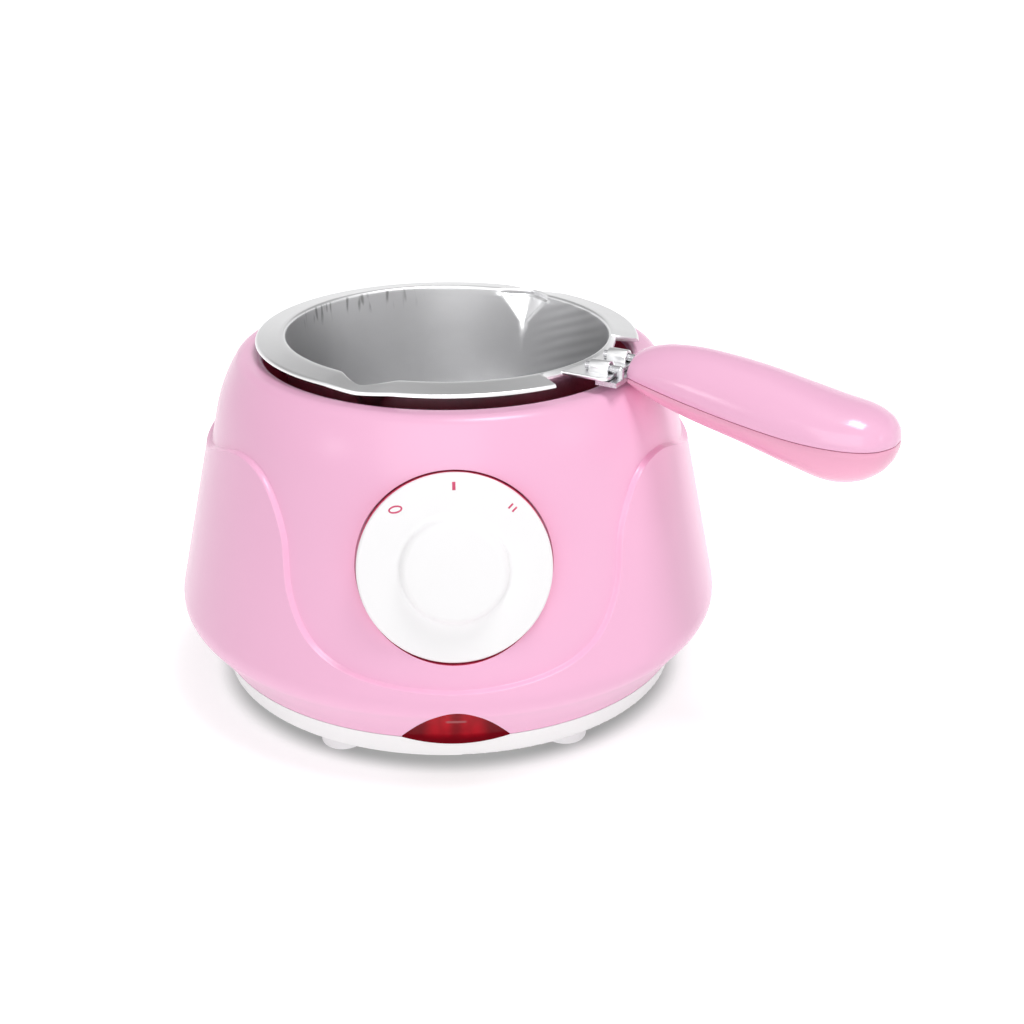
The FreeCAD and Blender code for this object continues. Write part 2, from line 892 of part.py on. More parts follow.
def switch_contacts():
    return Part.makeCompound([placed(contact_blade(x), dial_place) for x in contact_xs()])


def switch_screws():
    length = pocket_floor + switch_screw_length - thread_slack
    seats = [Place(Vec(p.x, p.y, -pocket_depth), Turn()) for p in switch_screw_points()]
    return Part.makeCompound([placed(screw(length), dial_place.multiply(seat)) for seat in seats])


# Lamp
def side_band(outer, inner):
    """Wall of the flare and the belly between two offsets."""
    back = flare(inner)
    top = belly(outer).EndPoint
    return lathe(flare(outer), belly(outer), flat(back.EndPoint.x, top.z), flat(back.StartPoint.x, seam_z))


def lamp_lens():
    outer = skirt_proud - lens_recess
    back = -housing_wall - lens_back
    window = side_band(outer, back).common(lamp_arch(-lens_clearance, pan_top_z))
    behind = side_band(-housing_wall - lens_clearance, back)
    flange = behind.common(lamp_arch(lens_flange, pan_top_z))
    return joined([window, flange])


def neon_lamp():
    half = neon_length / 2
    lamp = lathe(
        flat(0, -half),
        flat(neon_tip_radius, -half),
        flat(neon_radius, neon_tip - half),
        flat(neon_radius, half - neon_tip),
        flat(neon_tip_radius, half),
        flat(0, half),
    )
    return placed(lamp, Place(Vec(0, neon_y, neon_z), Turn(Vec(0, 1, 0), 90)))


def lamp_holder():
    reach = neon_length / 2 - neon_radius
    rear = neon_y + holder_depth
    base = block(Vec(-reach, neon_y, pan_floor_z), Vec(reach, rear, pan_floor_z + holder_base))
    arms = []
    for x in (-reach, reach - holder_arm):
        low = Vec(x, neon_y - neon_radius - holder_arm, pan_floor_z)
        arms.append(block(low, Vec(x + holder_arm, rear, neon_z + holder_over)))
    start = Vec(-neon_length / 2, neon_y, neon_z)
    hole = Part.makeCylinder(neon_radius + neon_clearance, neon_length, start, Vec(1, 0, 0))
    return joined([base] + arms).cut(hole)


def ballast_resistor():
    z = pan_floor_z + holder_base + resistor_radius + resistor_gap
    y = neon_y + holder_depth / 2 + resistor_radius
    start = Vec(-resistor_length / 2, y, z)
    return Part.makeCylinder(resistor_radius, resistor_length, start, Vec(1, 0, 0))


# Terminals and cord inlet
def terminal_xs():
    return (-terminal_pitch, 0.0, terminal_pitch)


def terminal_block():
    top = pan_floor_z + terminal_height
    low = Vec(-terminal_length / 2, terminal_y - terminal_width / 2, pan_floor_z)
    body = block(low, Vec(terminal_length / 2, terminal_y + terminal_width / 2, top))
    holes = []
    for x in terminal_xs():
        start = Vec(x, terminal_y - terminal_width, pan_floor_z + terminal_height / 2)
        holes.append(Part.makeCylinder(terminal_bore, 2 * terminal_width, start, Vec(0, 1, 0)))
        holes.append(rod(terminal_screw_radius, pan_floor_z + terminal_height / 2, top, x, terminal_y))
    return body.cut(holes)


def terminal_screws():
    top = pan_floor_z + terminal_height - terminal_screw_sink
    bottom = top - terminal_screw_height
    rods = [rod(terminal_screw_radius, bottom, top, x, terminal_y) for x in terminal_xs()]
    return Part.makeCompound(rods)


def cord_bush():
    inside = -housing_wall - bush_seat
    body = tube(cord_bore_radius, bush_body_radius, inside - bush_flange - bush_tail, bush_flange)
    edge = (bush_flange_radius - bush_flange_round, bush_flange - bush_flange_round)
    rim = lathe(
        flat(cord_bore_radius, 0),
        flat(bush_flange_radius, 0),
        round_arc(edge, bush_flange_round, 0, 90),
        flat(cord_bore_radius, bush_flange),
    )
    stop = tube(cord_bore_radius, bush_flange_radius, inside - bush_flange, inside)
    return placed(joined([body, rim, stop]), cord_place)


def cord_clamp():
    bottom = pan_floor_z + cord_post_height
    half = cord_clamp_length / 2
    low = Vec(-half, cord_clamp_y - cord_clamp_width / 2, bottom)
    bar = block(low, Vec(half, cord_clamp_y + cord_clamp_width / 2, bottom + cord_clamp_thickness))
    start = Vec(0, cord_clamp_y - cord_clamp_width, bottom - cord_bore_radius / 2)
    groove = Part.makeCylinder(cord_bore_radius, 2 * cord_clamp_width, start, Vec(0, 1, 0))
    holes = [rod(screw_hole_radius, bottom, bottom + cord_clamp_thickness, x, cord_clamp_y)
             for x in cord_post_xs()]
    return bar.cut([groove] + holes)


def cord_clamp_screws():
    seat_z = pan_floor_z + cord_post_height + cord_clamp_thickness
    length = cord_clamp_thickness + cord_post_height - thread_slack
    return Part.makeCompound([placed(screw(length), Place(Vec(x, cord_clamp_y, seat_z), Turn()))
                              for x in cord_post_xs()])


# Internal leads
def lead(*points):
    """Round lead along straight runs with tangent bends."""
    edges = []
    start = points[0]
    for before, corner, after in zip(points, points[1:], points[2:]):
        into = (corner - before).normalize()
        out = (after - corner).normalize()
        turn = into.getAngle(out)
        step = lead_bend * math.tan(turn / 2)
        first = corner - into * step
        last = corner + out * step
        inward = (out - into).normalize()
        middle = corner + inward * (lead_bend / math.cos(turn / 2) - lead_bend)
        edges.append(Part.makeLine(start, first))
        edges.append(Part.Arc(first, middle, last).toShape())
        start = last
    edges.append(Part.makeLine(start, points[-1]))
    path = Part.Wire(edges)
    heading = (points[1] - points[0]).normalize()
    section = Part.Wire(Part.makeCircle(lead_radius, points[0], heading))
    return path.makePipeShell([section], True, False)


def internal_leads():
    wire_z = pan_floor_z + terminal_height / 2
    front_y = terminal_y - terminal_width / 2
    rear_y = terminal_y + terminal_width / 2
    blade_z = (switch_front + switch_back) / 2
    leads = []
    # Terminal to the switch, round each side, between the columns and the bosses
    by_column = column_circle_radius + column_radius + lead_gap + lead_radius
    by_boss = boss_circle_radius - boss_radius - lead_gap - lead_radius
    for side in (-1, 1):
        ring = [
            around(by_column, side * lead_start_azimuth),
            around(by_boss, side * (180 - boss_azimuth)),
            around(by_column, side * column_azimuth),
            around(by_boss, side * boss_azimuth),
            around(by_column, side * lead_end_azimuth),
        ]
        front = [around(lead_front_radius, side * azimuth) for azimuth in lead_front_azimuths]
        blade = dial_place.multVec(Vec(side * contact_pitch, -switch_side / 2 - spade_length, blade_z))
        hole = Vec(side * terminal_pitch, rear_y, wire_z)
        leads.append(lead(
            hole,
            hole + Vec(0, lead_out, 0),
            *[point + Vec(0, 0, wire_z) for point in ring],
            *[point + Vec(0, 0, wire_z + rise) for point, rise in zip(front, lead_front_rises)],
            blade - Vec(0, 0, lead_radius),
        ))
    # Terminal to the lamp holder, under the shield
    holder_end = Vec(lead_lamp_x, neon_y + holder_depth, pan_floor_z + holder_base / 2)
    leads.append(lead(
        Vec(0, front_y, wire_z),
        Vec(0, front_y - lead_long_run, wire_z),
        holder_end + Vec(0, lead_long_run, 0),
        holder_end,
    ))
    # Terminal to the thermostat, up through the shield
    spade_y = thermostat_radius / 2
    spade_z = clamp_z - thermostat_height - spade_length
    leads.append(lead(
        Vec(terminal_pitch, front_y, wire_z),
        Vec(terminal_pitch, front_y - lead_short_run, wire_z),
        Vec(thermostat_x, spade_y, wire_z),
        Vec(thermostat_x, spade_y, spade_z),
    ))
    # Fuse to the thermostat's other spade
    fuse_end = Vec(fuse_x, -fuse_length / 2, fuse_axis_z())
    spade = Vec(thermostat_x, -spade_y - spade_thickness / 2, spade_z + spade_length / 2)
    leads.append(lead(
        fuse_end,
        fuse_end - Vec(0, lead_short_run, 0),
        Vec(0, lead_crossing_y, spade.z),
        spade - Vec(0, lead_short_run, 0),
        spade,
    ))
    return Part.makeCompound(leads)


# Pot, with the handle along +X until it is turned into place
def pot_body():
    under = flange_top_z - pot_wall
    top_wall = pot_mouth_radius + pot_wall
    floor_z = plate_top_z + pot_wall
    mouth = (pot_mouth_radius + mouth_edge_round, rim_z - mouth_edge_round)
    edge = (flange_radius - pot_wall, flange_top_z - pot_wall)
    return lathe(
        flat(0, plate_top_z),
        round_arc(pot_corner, pot_corner_round, -90, 0),
        flat(top_wall, under),
        flat(flange_radius - pot_wall, under),
        flat(flange_radius - pot_wall, flange_top_z - flange_turn_down),
        flat(flange_radius, flange_top_z - flange_turn_down),
        round_arc(edge, pot_wall, 0, 90),
        round_arc(mouth, mouth_edge_round, 90, 180),
        round_arc(pot_corner, pot_corner_round - pot_wall, 0, -90),
        flat(0, floor_z),
    )


def wall_radius(z):
    """Inside radius of the pot's wall at a height."""
    low = plate_top_z + pot_corner_round
    return pot_floor_radius + (pot_mouth_radius - pot_floor_radius) * (z - low) / (rim_z - low)


def lip_wedge(grow):
    """Tapered V of a pouring lip, along +X, grown outwards by a sheet's thickness."""
    foot_z = rim_z - lip_depth - grow
    inside = pot_mouth_radius - lip_depth
    top_z = rim_z + lip_sheet
    tip = Vec(pot_mouth_radius + lip_reach + grow, 0, flange_top_z - grow)
    foot = Vec(wall_radius(foot_z), 0, foot_z)
    spread = lip_half_width + grow
    rise = Vec(0, 0, top_z - rim_z)
    left = Vec(pot_mouth_radius, spread, rim_z)
    right = Vec(pot_mouth_radius, -spread, rim_z)
    back = Vec(inside - foot.x, 0, 0)
    corners = [foot, left, right, tip]
    raised = [left + rise, right + rise, tip + rise]
    pulled = [foot + back, left + back + rise, right + back + rise]
    return hull(corners + raised + pulled)


def hull(points):
    """Convex solid over a few points, from the planes that have every point on one side."""
    faces = []
    planes = []
    count = len(points)
    for i in range(count):
        for j in range(i + 1, count):
            for k in range(j + 1, count):
                normal = (points[j] - points[i]).cross(points[k] - points[i])
                if normal.Length < 1e-6:
                    continue
                normal.normalize()
                sides = [normal.dot(p - points[i]) for p in points]
                if max(sides) > 1e-6:
                    normal = normal * -1
                    sides = [-s for s in sides]
                if max(sides) > 1e-6:
                    continue
                key = (round(normal.x, 5), round(normal.y, 5), round(normal.z, 5))
                if key in planes:
                    continue
                planes.append(key)
                ring = [p for p, s in zip(points, sides) if abs(s) < 1e-6]
                faces.append(convex_face(ring, normal))
    return Part.Solid(Part.Shell(faces))


def convex_face(ring, normal):
    """Flat face with its corners in turn about their middle."""
    middle = Vec(0, 0, 0)
    for p in ring:
        middle = middle + p * (1.0 / len(ring))
    side = (ring[0] - middle).normalize()
    other = normal.cross(side)
    ordered = sorted(ring, key=lambda p: math.atan2(other.dot(p - middle), side.dot(p - middle)))
    return Part.Face(Part.makePolygon(ordered + [ordered[0]]))


def bridge_ys():
    first = tab_shift - bridge_pitch * (bridge_count - 1) / 2
    return [first + n * bridge_pitch for n in range(bridge_count)]


def bridge(y):
    """Pressed arch over the tab that a prong slides under."""
    start = bridge_end - bridge_length
    base = flange_top_z - pot_wall / 2
    top = prong_z + bridge_inner_half
    outer_half = bridge_inner_half + bridge_sheet
    crest = Vec(start, y, top + bridge_sheet)
    arch = Part.Arc(Vec(start, y - outer_half, prong_z), crest, Vec(start, y + outer_half, prong_z))
    hollow = Part.Arc(Vec(start, y + bridge_inner_half, prong_z), Vec(start, y, top),
                      Vec(start, y - bridge_inner_half, prong_z))
    return prism(
        Vec(bridge_length, 0, 0),
        Vec(start, y - outer_half, base),
        arch,
        Vec(start, y + outer_half, base),
        Vec(start, y + bridge_inner_half, base),
        hollow,
        Vec(start, y - bridge_inner_half, base),
    )


def pot():
    body = pot_body()
    sector_turn = Place(ORIGIN, Turn(UP, -notch_near_angle))
    sector_angle = notch_near_angle + notch_far_angle
    sector = Part.makeCylinder(2 * flange_radius, 2 * flange_turn_down + 2 * pot_wall,
                               Vec(0, 0, flange_top_z - 2 * flange_turn_down), UP, sector_angle)
    sector = placed(sector, sector_turn)
    keep = rod(notch_inner_radius, plate_top_z, 2 * rim_z)
    body = body.cut(sector.cut(keep))
    tab = block(Vec(0, tab_shift - tab_half_width, tab_under_z),
                Vec(tab_end, tab_shift + tab_half_width, flange_top_z))
    tab = tab.cut(rod(pot_mouth_radius + pot_wall / 2, plate_top_z, 2 * rim_z))
    bridges = [bridge(y) for y in bridge_ys()]
    lips = [placed(lip_wedge(lip_sheet), Place(ORIGIN, Turn(UP, angle))) for angle in lip_azimuths]
    below_rim = rod(2 * flange_radius, plate_top_z, flange_top_z)
    lips = [lip.common(below_rim) for lip in lips]
    mouths = [placed(lip_wedge(0), Place(ORIGIN, Turn(UP, angle))) for angle in lip_azimuths]
    inside = lathe(
        flat(0, plate_top_z + pot_wall),
        round_arc(pot_corner, pot_corner_round - pot_wall, -90, 0),
        flat(pot_mouth_radius, rim_z - mouth_edge_round),
        flat(pot_mouth_radius, rim_z + lip_depth),
        flat(0, rim_z + lip_depth),
    )
    slots = [block(Vec(bridge_end - bridge_length, y - bridge_inner_half, tab_under_z),
                   Vec(bridge_end, y + bridge_inner_half, flange_top_z)) for y in bridge_ys()]
    whole = joined([body, tab] + bridges + lips).cut([inside] + mouths + slots)
    return placed(whole, handle_place)


# Handle, along +X until it is turned into place
def handle_rows():
    """Sections of the handle in real sizes."""
    return [[share * handle_length for share in section] for section in handle_sections]


def handle_point(along, drop):
    return Vec(handle_start + along, 0, handle_seam_z - drop)


def half_section(centre, half_width, height):
    """Half ellipse across the handle, from one side over to the other."""
    side = Vec(0, half_width, 0)
    rise = Vec(0, 0, height)
    poles = [centre + side, centre + side + rise, centre + rise, centre - side + rise, centre - side]
    corner = math.sqrt(0.5)
    curve = Part.BSplineCurve()
    curve.buildFromPolesMultsKnots(poles, [3, 2, 3], [0, 1, 2], False, 2, [1, corner, 1, corner, 1])
    return curve


def handle_form(inset):
    """Closed handle form, drawn in by an inset."""
    rings = []
    for along, drop, half_width, crest, keel in handle_rows():
        centre = handle_point(along, drop)
        if inset > 0 and min(half_width, crest, keel) < 2 * inset:
            continue
        over = half_section(centre, half_width - inset, crest - inset)
        below = half_section(centre, -half_width + inset, -keel + inset)
        rings.append(Part.Wire([over.toShape(), below.toShape()]))
    return Part.makeLoft(rings, True, False)


def below_seam(lift):
    """Space under the handle's seam."""
    seam = Part.BSplineCurve()
    points = [handle_point(row[0], row[1]) for row in handle_rows()]
    ahead = points[0] - Vec(handle_start / 4, 0, 0)
    beyond = points[-1] + Vec(handle_start / 4, 0, 0)
    seam.interpolate([ahead] + points + [beyond])
    reach = Vec(0, -handle_start, 0)
    depth = Vec(0, 0, -handle_start)
    space = prism(Vec(0, 2 * handle_start, 0), seam, beyond + depth, ahead + depth)
    space.translate(reach + Vec(0, 0, lift))
    return space


def tang_slope():
    """Fall of the tang per unit of length, along the seam."""
    return tang_fall / tang_length


def tang_solid(grow):
    """Flat tang in the handle's seam, grown all round by a clearance."""
    half = tang_half_width + grow
    lift = tang_thickness / 2 + grow
    start = Vec(prong_post_x, -half, handle_seam_z - leaf_drop())
    end_x = handle_start + tang_length + grow
    fall = (end_x - prong_post_x) * tang_slope()
    end = Vec(end_x, -half, start.z - fall)
    up = Vec(0, 0, lift)
    return prism(Vec(0, 2 * half, 0), start + up, end + up, end - up, start - up)


def leaf_drop():
    """How far the tang's root lies under the seam, so that it runs out of the leaf."""
    return handle_seam_z - (leaf_top_z - leaf_thickness / 2)


def screw_spot(along):
    """Place of a handle screw on the tang's middle plane."""
    x = handle_start + along
    root_z = handle_seam_z - leaf_drop()
    return Vec(x, 0, root_z - (x - prong_post_x) * tang_slope())


def handle_bracket():
    leaf_low = Vec(tab_end - leaf_overlap, tab_shift - leaf_half_width, leaf_top_z - leaf_thickness)
    leaf = block(leaf_low, Vec(prong_post_x + prong_radius, tab_shift + leaf_half_width, leaf_top_z))
    prongs = []
    start = bridge_end - bridge_length - prong_reach
    for y in bridge_ys():
        tip = Vec(start, y, prong_z)
        prongs.append(Part.makeCylinder(prong_radius, prong_post_x - start, tip, Vec(1, 0, 0)))
        prongs.append(rod(prong_radius, leaf_top_z - leaf_thickness, prong_z, prong_post_x, y))
        prongs.append(Part.makeSphere(prong_radius, Vec(prong_post_x, y, prong_z)))
    bracket = joined([leaf, tang_solid(0)] + prongs)
    holes = []
    for along in handle_screw_places:
        spot = screw_spot(along)
        holes.append(rod(screw_hole_radius, spot.z - tang_length, spot.z + tang_length, spot.x, spot.y))
    return placed(bracket.cut(holes), handle_place)


def handle_shell():
    return handle_form(0).cut(handle_form(handle_wall))


def handle_upper_shell():
    form = handle_form(0)
    lower = below_seam(handle_seam_gap)
    bosses = []
    holes = []
    for along in handle_screw_places:
        spot = screw_spot(along)
        seat = spot.z + tang_thickness / 2
        boss = rod(handle_boss_radius, seat, seat + tang_length, spot.x, spot.y).common(form)
        bosses.append(boss)
        holes.append(rod(pilot_radius, seat, seat + handle_thread, spot.x, spot.y))
    shell = joined([handle_shell().cut(lower)] + bosses)
    return placed(shell.cut(holes + [tang_solid(tang_clearance), bracket_room()]), handle_place)


def handle_lower_shell():
    form = handle_form(0)
    lower = below_seam(0)
    bosses = []
    holes = []
    for along in handle_screw_places:
        spot = screw_spot(along)
        seat = spot.z - tang_thickness / 2
        boss = rod(handle_boss_radius, seat - tang_length, seat, spot.x, spot.y).common(form)
        bosses.append(boss)
        holes.append(rod(screw_hole_radius, seat - tang_length, seat, spot.x, spot.y))
        head = rod(screw_head_radius + tang_clearance, seat - tang_length, head_seat(along), spot.x, spot.y)
        holes.append(head)
    shell = joined([handle_shell().common(lower)] + bosses)
    return placed(shell.cut(holes + [tang_solid(tang_clearance), bracket_room()]), handle_place)


def bracket_room():
    """Room in the handle's root for the leaf's edge and the prongs' posts."""
    reach = prong_post_x + prong_radius + tang_clearance
    side = 2 * leaf_half_width
    return block(Vec(0, -side, leaf_top_z - 2 * leaf_thickness), Vec(reach, side, 2 * rim_z))


def head_seat(along):
    """Height of a screw head's seat in the lower shell."""
    return screw_spot(along).z - tang_thickness / 2 - handle_wall


def handle_screws():
    flip = Turn(Vec(1, 0, 0), 180)
    length = handle_wall + tang_thickness + handle_thread - thread_slack
    group = []
    for along in handle_screw_places:
        spot = screw_spot(along)
        seat = Place(Vec(spot.x, spot.y, head_seat(along)), flip)
        group.append(placed(placed(screw(length), seat), handle_place))
    return Part.makeCompound(group)


pieces = (
    housing, base_pan, feet, housing_screws, well_liner, liner_screws,
    heating_plate, heating_element, clamp_plate, clamp_nut, thermostat, thermal_fuse, fuse_clip,
    heat_shield, shield_screws,
    dial_knob, switch_shaft, dial_clip, switch_body, switch_contacts, switch_screws,
    lamp_lens, neon_lamp, lamp_holder, ballast_resistor,
    terminal_block, terminal_screws, cord_bush, cord_clamp, cord_clamp_screws, internal_leads,
    pot, handle_bracket, handle_upper_shell, handle_lower_shell, handle_screws,
)

os.makedirs("parts", exist_ok=True)
for piece in pieces:
    shape = piece()
    shape.exportStep(os.path.join("parts", piece.__name__ + ".step"))
    print(piece.__name__, len(shape.Solids), round(shape.Volume, 1), shape.isValid())
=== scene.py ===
import json
import math

import bmesh
import bpy
from mathutils import Matrix, Vector


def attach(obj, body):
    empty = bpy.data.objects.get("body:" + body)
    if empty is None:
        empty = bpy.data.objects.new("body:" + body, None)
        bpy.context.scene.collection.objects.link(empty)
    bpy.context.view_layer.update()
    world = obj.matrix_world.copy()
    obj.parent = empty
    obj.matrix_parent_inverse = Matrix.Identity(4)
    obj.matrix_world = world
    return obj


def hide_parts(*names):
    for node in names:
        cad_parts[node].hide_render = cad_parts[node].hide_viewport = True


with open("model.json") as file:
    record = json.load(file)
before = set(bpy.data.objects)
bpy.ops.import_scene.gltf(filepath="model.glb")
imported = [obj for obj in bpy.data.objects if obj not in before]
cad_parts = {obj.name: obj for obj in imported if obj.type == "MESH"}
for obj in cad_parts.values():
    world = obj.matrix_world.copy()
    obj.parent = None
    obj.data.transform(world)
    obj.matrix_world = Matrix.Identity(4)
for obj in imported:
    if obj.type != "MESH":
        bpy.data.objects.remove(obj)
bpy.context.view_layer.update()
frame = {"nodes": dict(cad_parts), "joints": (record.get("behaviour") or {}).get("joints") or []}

# Shapes are drawn in millimetres, with the dial facing -Y, and scaled to metres when a piece is made.
MM = 0.001
UP = Vector((0, 0, 1))
joints = {joint["name"]: joint for joint in frame["joints"]}

# Housing: outline of its side, from the seam up to the mouth
SEAM_RADIUS = 72.6
SEAM_Z = 11.2
FLARE_BOW = 0.3
BELLY_CENTRE = Vector((75.5, 28.9))
BELLY_ROUND = 8.0
BELLY_UNDER = -40.0
CONE_LEAN = 12.21
CROWN_CENTRE = Vector((24.535, 77.636))
CROWN_ROUND = 47.5
CROWN_LEAN = 32.8
LIP_CENTRE = Vector((61.1, 101.2))
LIP_ROUND = 4.0
TOP_Z = 105.2
MOUTH_RADIUS = 56.2
MOUTH_ROUND = 1.9
HOUSING_WALL = 2.2
HOLLOW_RADIUS = 40.0
FINE_SHARE = 0.55
FLARE_STEPS = 60
BELLY_STEPS = 40
CROWN_STEPS = 60
LIP_STEPS = 30

# Apron edge: the skirt's upper edge as seen from the front (across, up), the same on all four quarters
SKIRT_PROUD = 1.5
FOOT_RUN = 12.0
WALL_LEAST = 2.0
APRON_EDGE = (
    (0.0, 31.5),
    (25.2, 34.0),
    (39.5, 40.5),
    (46.0, 53.0),
    (47.6, 70.0),
    (53.0, 82.7),
    (60.2, 86.0),
    (67.4, 82.9),
    (73.2, 78.2),
    (77.5, 76.6),
)
APRON_BAND = 4.0
APRON_SOFT = 0.5
APRON_STEPS = 40
APRON_SMOOTHING = 6
QUARTER_COLUMNS = 96

# Dial and its pocket
DIAL_RADIUS = 26.9
DIAL_EDGE = 0.9
DIAL_DEPTH = 6.0
DIAL_FACE = 2.4
DIAL_RIM = 2.0
DIAL_GAP = 0.5
GRIP_RADIUS = 15.0
GRIP_HEIGHT = 3.4
GRIP_ROUND = 2.2
GRIP_FOOT = 1.2
POCKET_DEPTH = 6.5
POCKET_FLOOR = 2.2
POCKET_WALL = 2.0
POCKET_REACH = 30.0
FACE_SLACK = 0.05
MARK_TURN = 43.0
MARK_RADIUS = 23.2
MARK_HEIGHT = 0.08
MARK_SOFT = 0.03
MARK_OFF = (3.9, 2.2, 0.5)
MARK_OFF_TILT = -31.0
MARK_ONE = (0.9, 2.3)
MARK_TWO = (0.5, 1.8)
MARK_TWO_SHIFT = 0.7

# Lamp window and cord inlet
LAMP_HALF = 15.7
LAMP_TOP_Z = 25.3
LAMP_EDGE = (
    (-1.0, 0.0),
    (-0.667, 0.54),
    (-0.355, 0.88),
    (0.0, 1.0),
    (0.355, 0.88),
    (0.667, 0.54),
    (1.0, 0.0),
)
WINDOW_FRONT = -100.0
WINDOW_DEPTH = 50.0
LENS_CLEARANCE = 0.2
LENS_RECESS = 0.3
LENS_BOTTOM = 11.1
LENS_HANG = 1.7
LENS_FOOT = 74.3
LENS_DEPTH = 3.0
LENS_LEAN = 0.7
LENS_LEAST = 0.1
INLET_RADIUS = 5.3
INLET_Z = 42.0
INLET_REACH = 10.0

# Pan
PAN_MOUTH = 49.1
PAN_RIM_Z = 110.6
PAN_FLOOR_Z = 50.2
PAN_SHEET = 1.0
PAN_CORNER = Vector((37.0, 59.2))
PAN_CORNER_ROUND = 9.0
PAN_EDGE = 0.9
FLANGE_RADIUS = 58.2
FLANGE_Z = 109.7
FLANGE_TURN_DOWN = 0.95
POUR_SPOTS = (90.0, -85.0)
POUR_DEPTH = 11.4
POUR_HALF = 8.5
POUR_REACH = 5.7
POUR_DIP = 0.9
POUR_SPAN = 1.06
POUR_TIP = 0.16
POUR_SOFT = 0.012
NOTCH_RADIUS = 51.3
NOTCH_ENDS = (-27.0, 23.5)
NOTCH_EDGE = 0.06
PLAIN_WALL = 0.82
POUR_WALL = 0.2
PAN_COLUMNS = 480
PAN_CRISP = 28.0
TAB_Z = 110.1
TAB_END = 62.2
TAB_SHIFT = -5.6
TAB_HALF = 11.7
TAB_CORNER = 2.5
TAB_GAP = 0.2
TAB_EDGE = 0.25
BRIDGE_SPOTS = (-11.5, 0.3)
BRIDGE_START = 54.6
BRIDGE_LENGTH = 6.0
BRIDGE_INSIDE = 1.25
BRIDGE_SHEET = 0.9
BRIDGE_SINK = 0.3
BRIDGE_EDGE = 0.2
PRONG_Z = 111.35

# Handle: sections along it (along, drop, half width, crown above the seam, keel below it)
HANDLE_START = 64.0
HANDLE_SEAM_Z = 108.3
HANDLE_SEAM_GAP = 0.25
HANDLE_SEAM_ROUND = 0.4
HANDLE_CRISP = 50.0
HANDLE_ROUND = 0.9
HANDLE_SECTIONS = (
    (0.0, 0.0, 8.7, 5.7, 2.8),
    (4.0, 0.8, 9.5, 8.3, 4.4),
    (10.1, 1.9, 10.5, 10.8, 6.0),
    (20.1, 3.6, 11.9, 12.8, 7.2),
    (36.2, 6.0, 13.5, 13.4, 8.6),
    (50.3, 7.6, 14.4, 12.1, 11.1),
    (60.4, 8.1, 14.3, 10.5, 13.0),
    (68.4, 8.2, 12.7, 9.3, 11.5),
    (73.5, 8.1, 9.7, 7.0, 8.3),
    (76.0, 8.0, 5.9, 4.3, 5.0),
    (76.9, 8.0, 2.8, 2.0, 2.4),
)

# Camera, fitted to the circles of the flange, the well's mouth and the base ring
CAMERA_LENS = 55.164
CAMERA_EYE = Vector((-8.054, -461.385, 250.792))
CAMERA_YAW = 3.493
CAMERA_PITCH = 23.55
CAMERA_ROLL = 0.464


# Drawing helpers
MERGE_GAP = 1e-4
SHARP_ANGLE = 1.0


def on_round(centre, radius, degrees):
    """Point on a circle in the outline's plane, at the angle of its normal."""
    turn = math.radians(degrees)
    return Vector((centre[0] + radius * math.cos(turn), centre[1] + radius * math.sin(turn)))


def arc(centre, radius, start, end, steps):
    """Points along a circle between two normal angles."""
    return [on_round(centre, radius, start + (end - start) * n / steps) for n in range(steps + 1)]


def soft_step(low, high, value):
    share = min(max((value - low) / (high - low), 0.0), 1.0)
    return share * share * (3 - 2 * share)


def blend(start, end, share):
    return start + (end - start) * share


def along_table(rows, at):
    """Row of a table read smoothly between its rows, by its first column."""
    last = len(rows) - 1
    index = max(n for n in range(last) if rows[n][0] <= at or n == 0)
    before = rows[max(index - 1, 0)]
    start = rows[index]
    end = rows[index + 1]
    after = rows[min(index + 2, last)]
    span = end[0] - start[0]
    share = (at - start[0]) / span
    read = []
    for n in range(len(start)):
        rise_in = (end[n] - before[n]) / (end[0] - before[0]) * span
        rise_out = (after[n] - start[n]) / (after[0] - start[0]) * span
        a = 2 * start[n] - 2 * end[n] + rise_in + rise_out
        b = 3 * end[n] - 3 * start[n] - 2 * rise_in - rise_out
        read.append(((a * share + b) * share + rise_in) * share + start[n])
    return read


def spun(points, steps):
    """Closed outline of (radius, height) points turned about Z."""
    bm = bmesh.new()
    line = [bm.verts.new((point[0], 0, point[1])) for point in points]
    edges = [bm.edges.new(pair) for pair in zip(line, line[1:] + line[:1])]
    turn_fully(bm, line + edges, steps)
    tidy_shell(bm)
    return bm


def turn_fully(bm, geometry, steps):
    bmesh.ops.spin(bm, geom=geometry, cent=(0, 0, 0), axis=UP, angle=math.tau, steps=steps, use_merge=True)


def tidy_shell(bm):
    bmesh.ops.remove_doubles(bm, verts=bm.verts, dist=MERGE_GAP)
    bmesh.ops.dissolve_degenerate(bm, edges=bm.edges, dist=1e-5)
    bmesh.ops.recalc_face_normals(bm, faces=bm.faces)


def laid_tube(rings, steps, place, looped):
    """Plain tube with rings at heights 0, 1, 2..., each point then laid at place(ring, step)."""
    bm = bmesh.new()
    line = [bm.verts.new((1, 0, ring)) for ring in range(rings)]
    edges = [bm.edges.new(pair) for pair in zip(line, line[1:])]
    if looped:
        edges.append(bm.edges.new((line[-1], line[0])))
    turn_fully(bm, line + edges, steps)
    bmesh.ops.remove_doubles(bm, verts=bm.verts, dist=MERGE_GAP)
    if not looped:
        rims = [edge for edge in bm.edges if edge.is_boundary]
        bmesh.ops.holes_fill(bm, edges=rims)
    for vert in bm.verts:
        step = round(math.atan2(vert.co.y, vert.co.x) / math.tau * steps) % steps
        vert.co = place(round(vert.co.z), step)
    tidy_shell(bm)
    return bm


def rod(radius, low, high, steps):
    return spun([(0, low), (radius, low), (radius, high), (0, high)], steps)


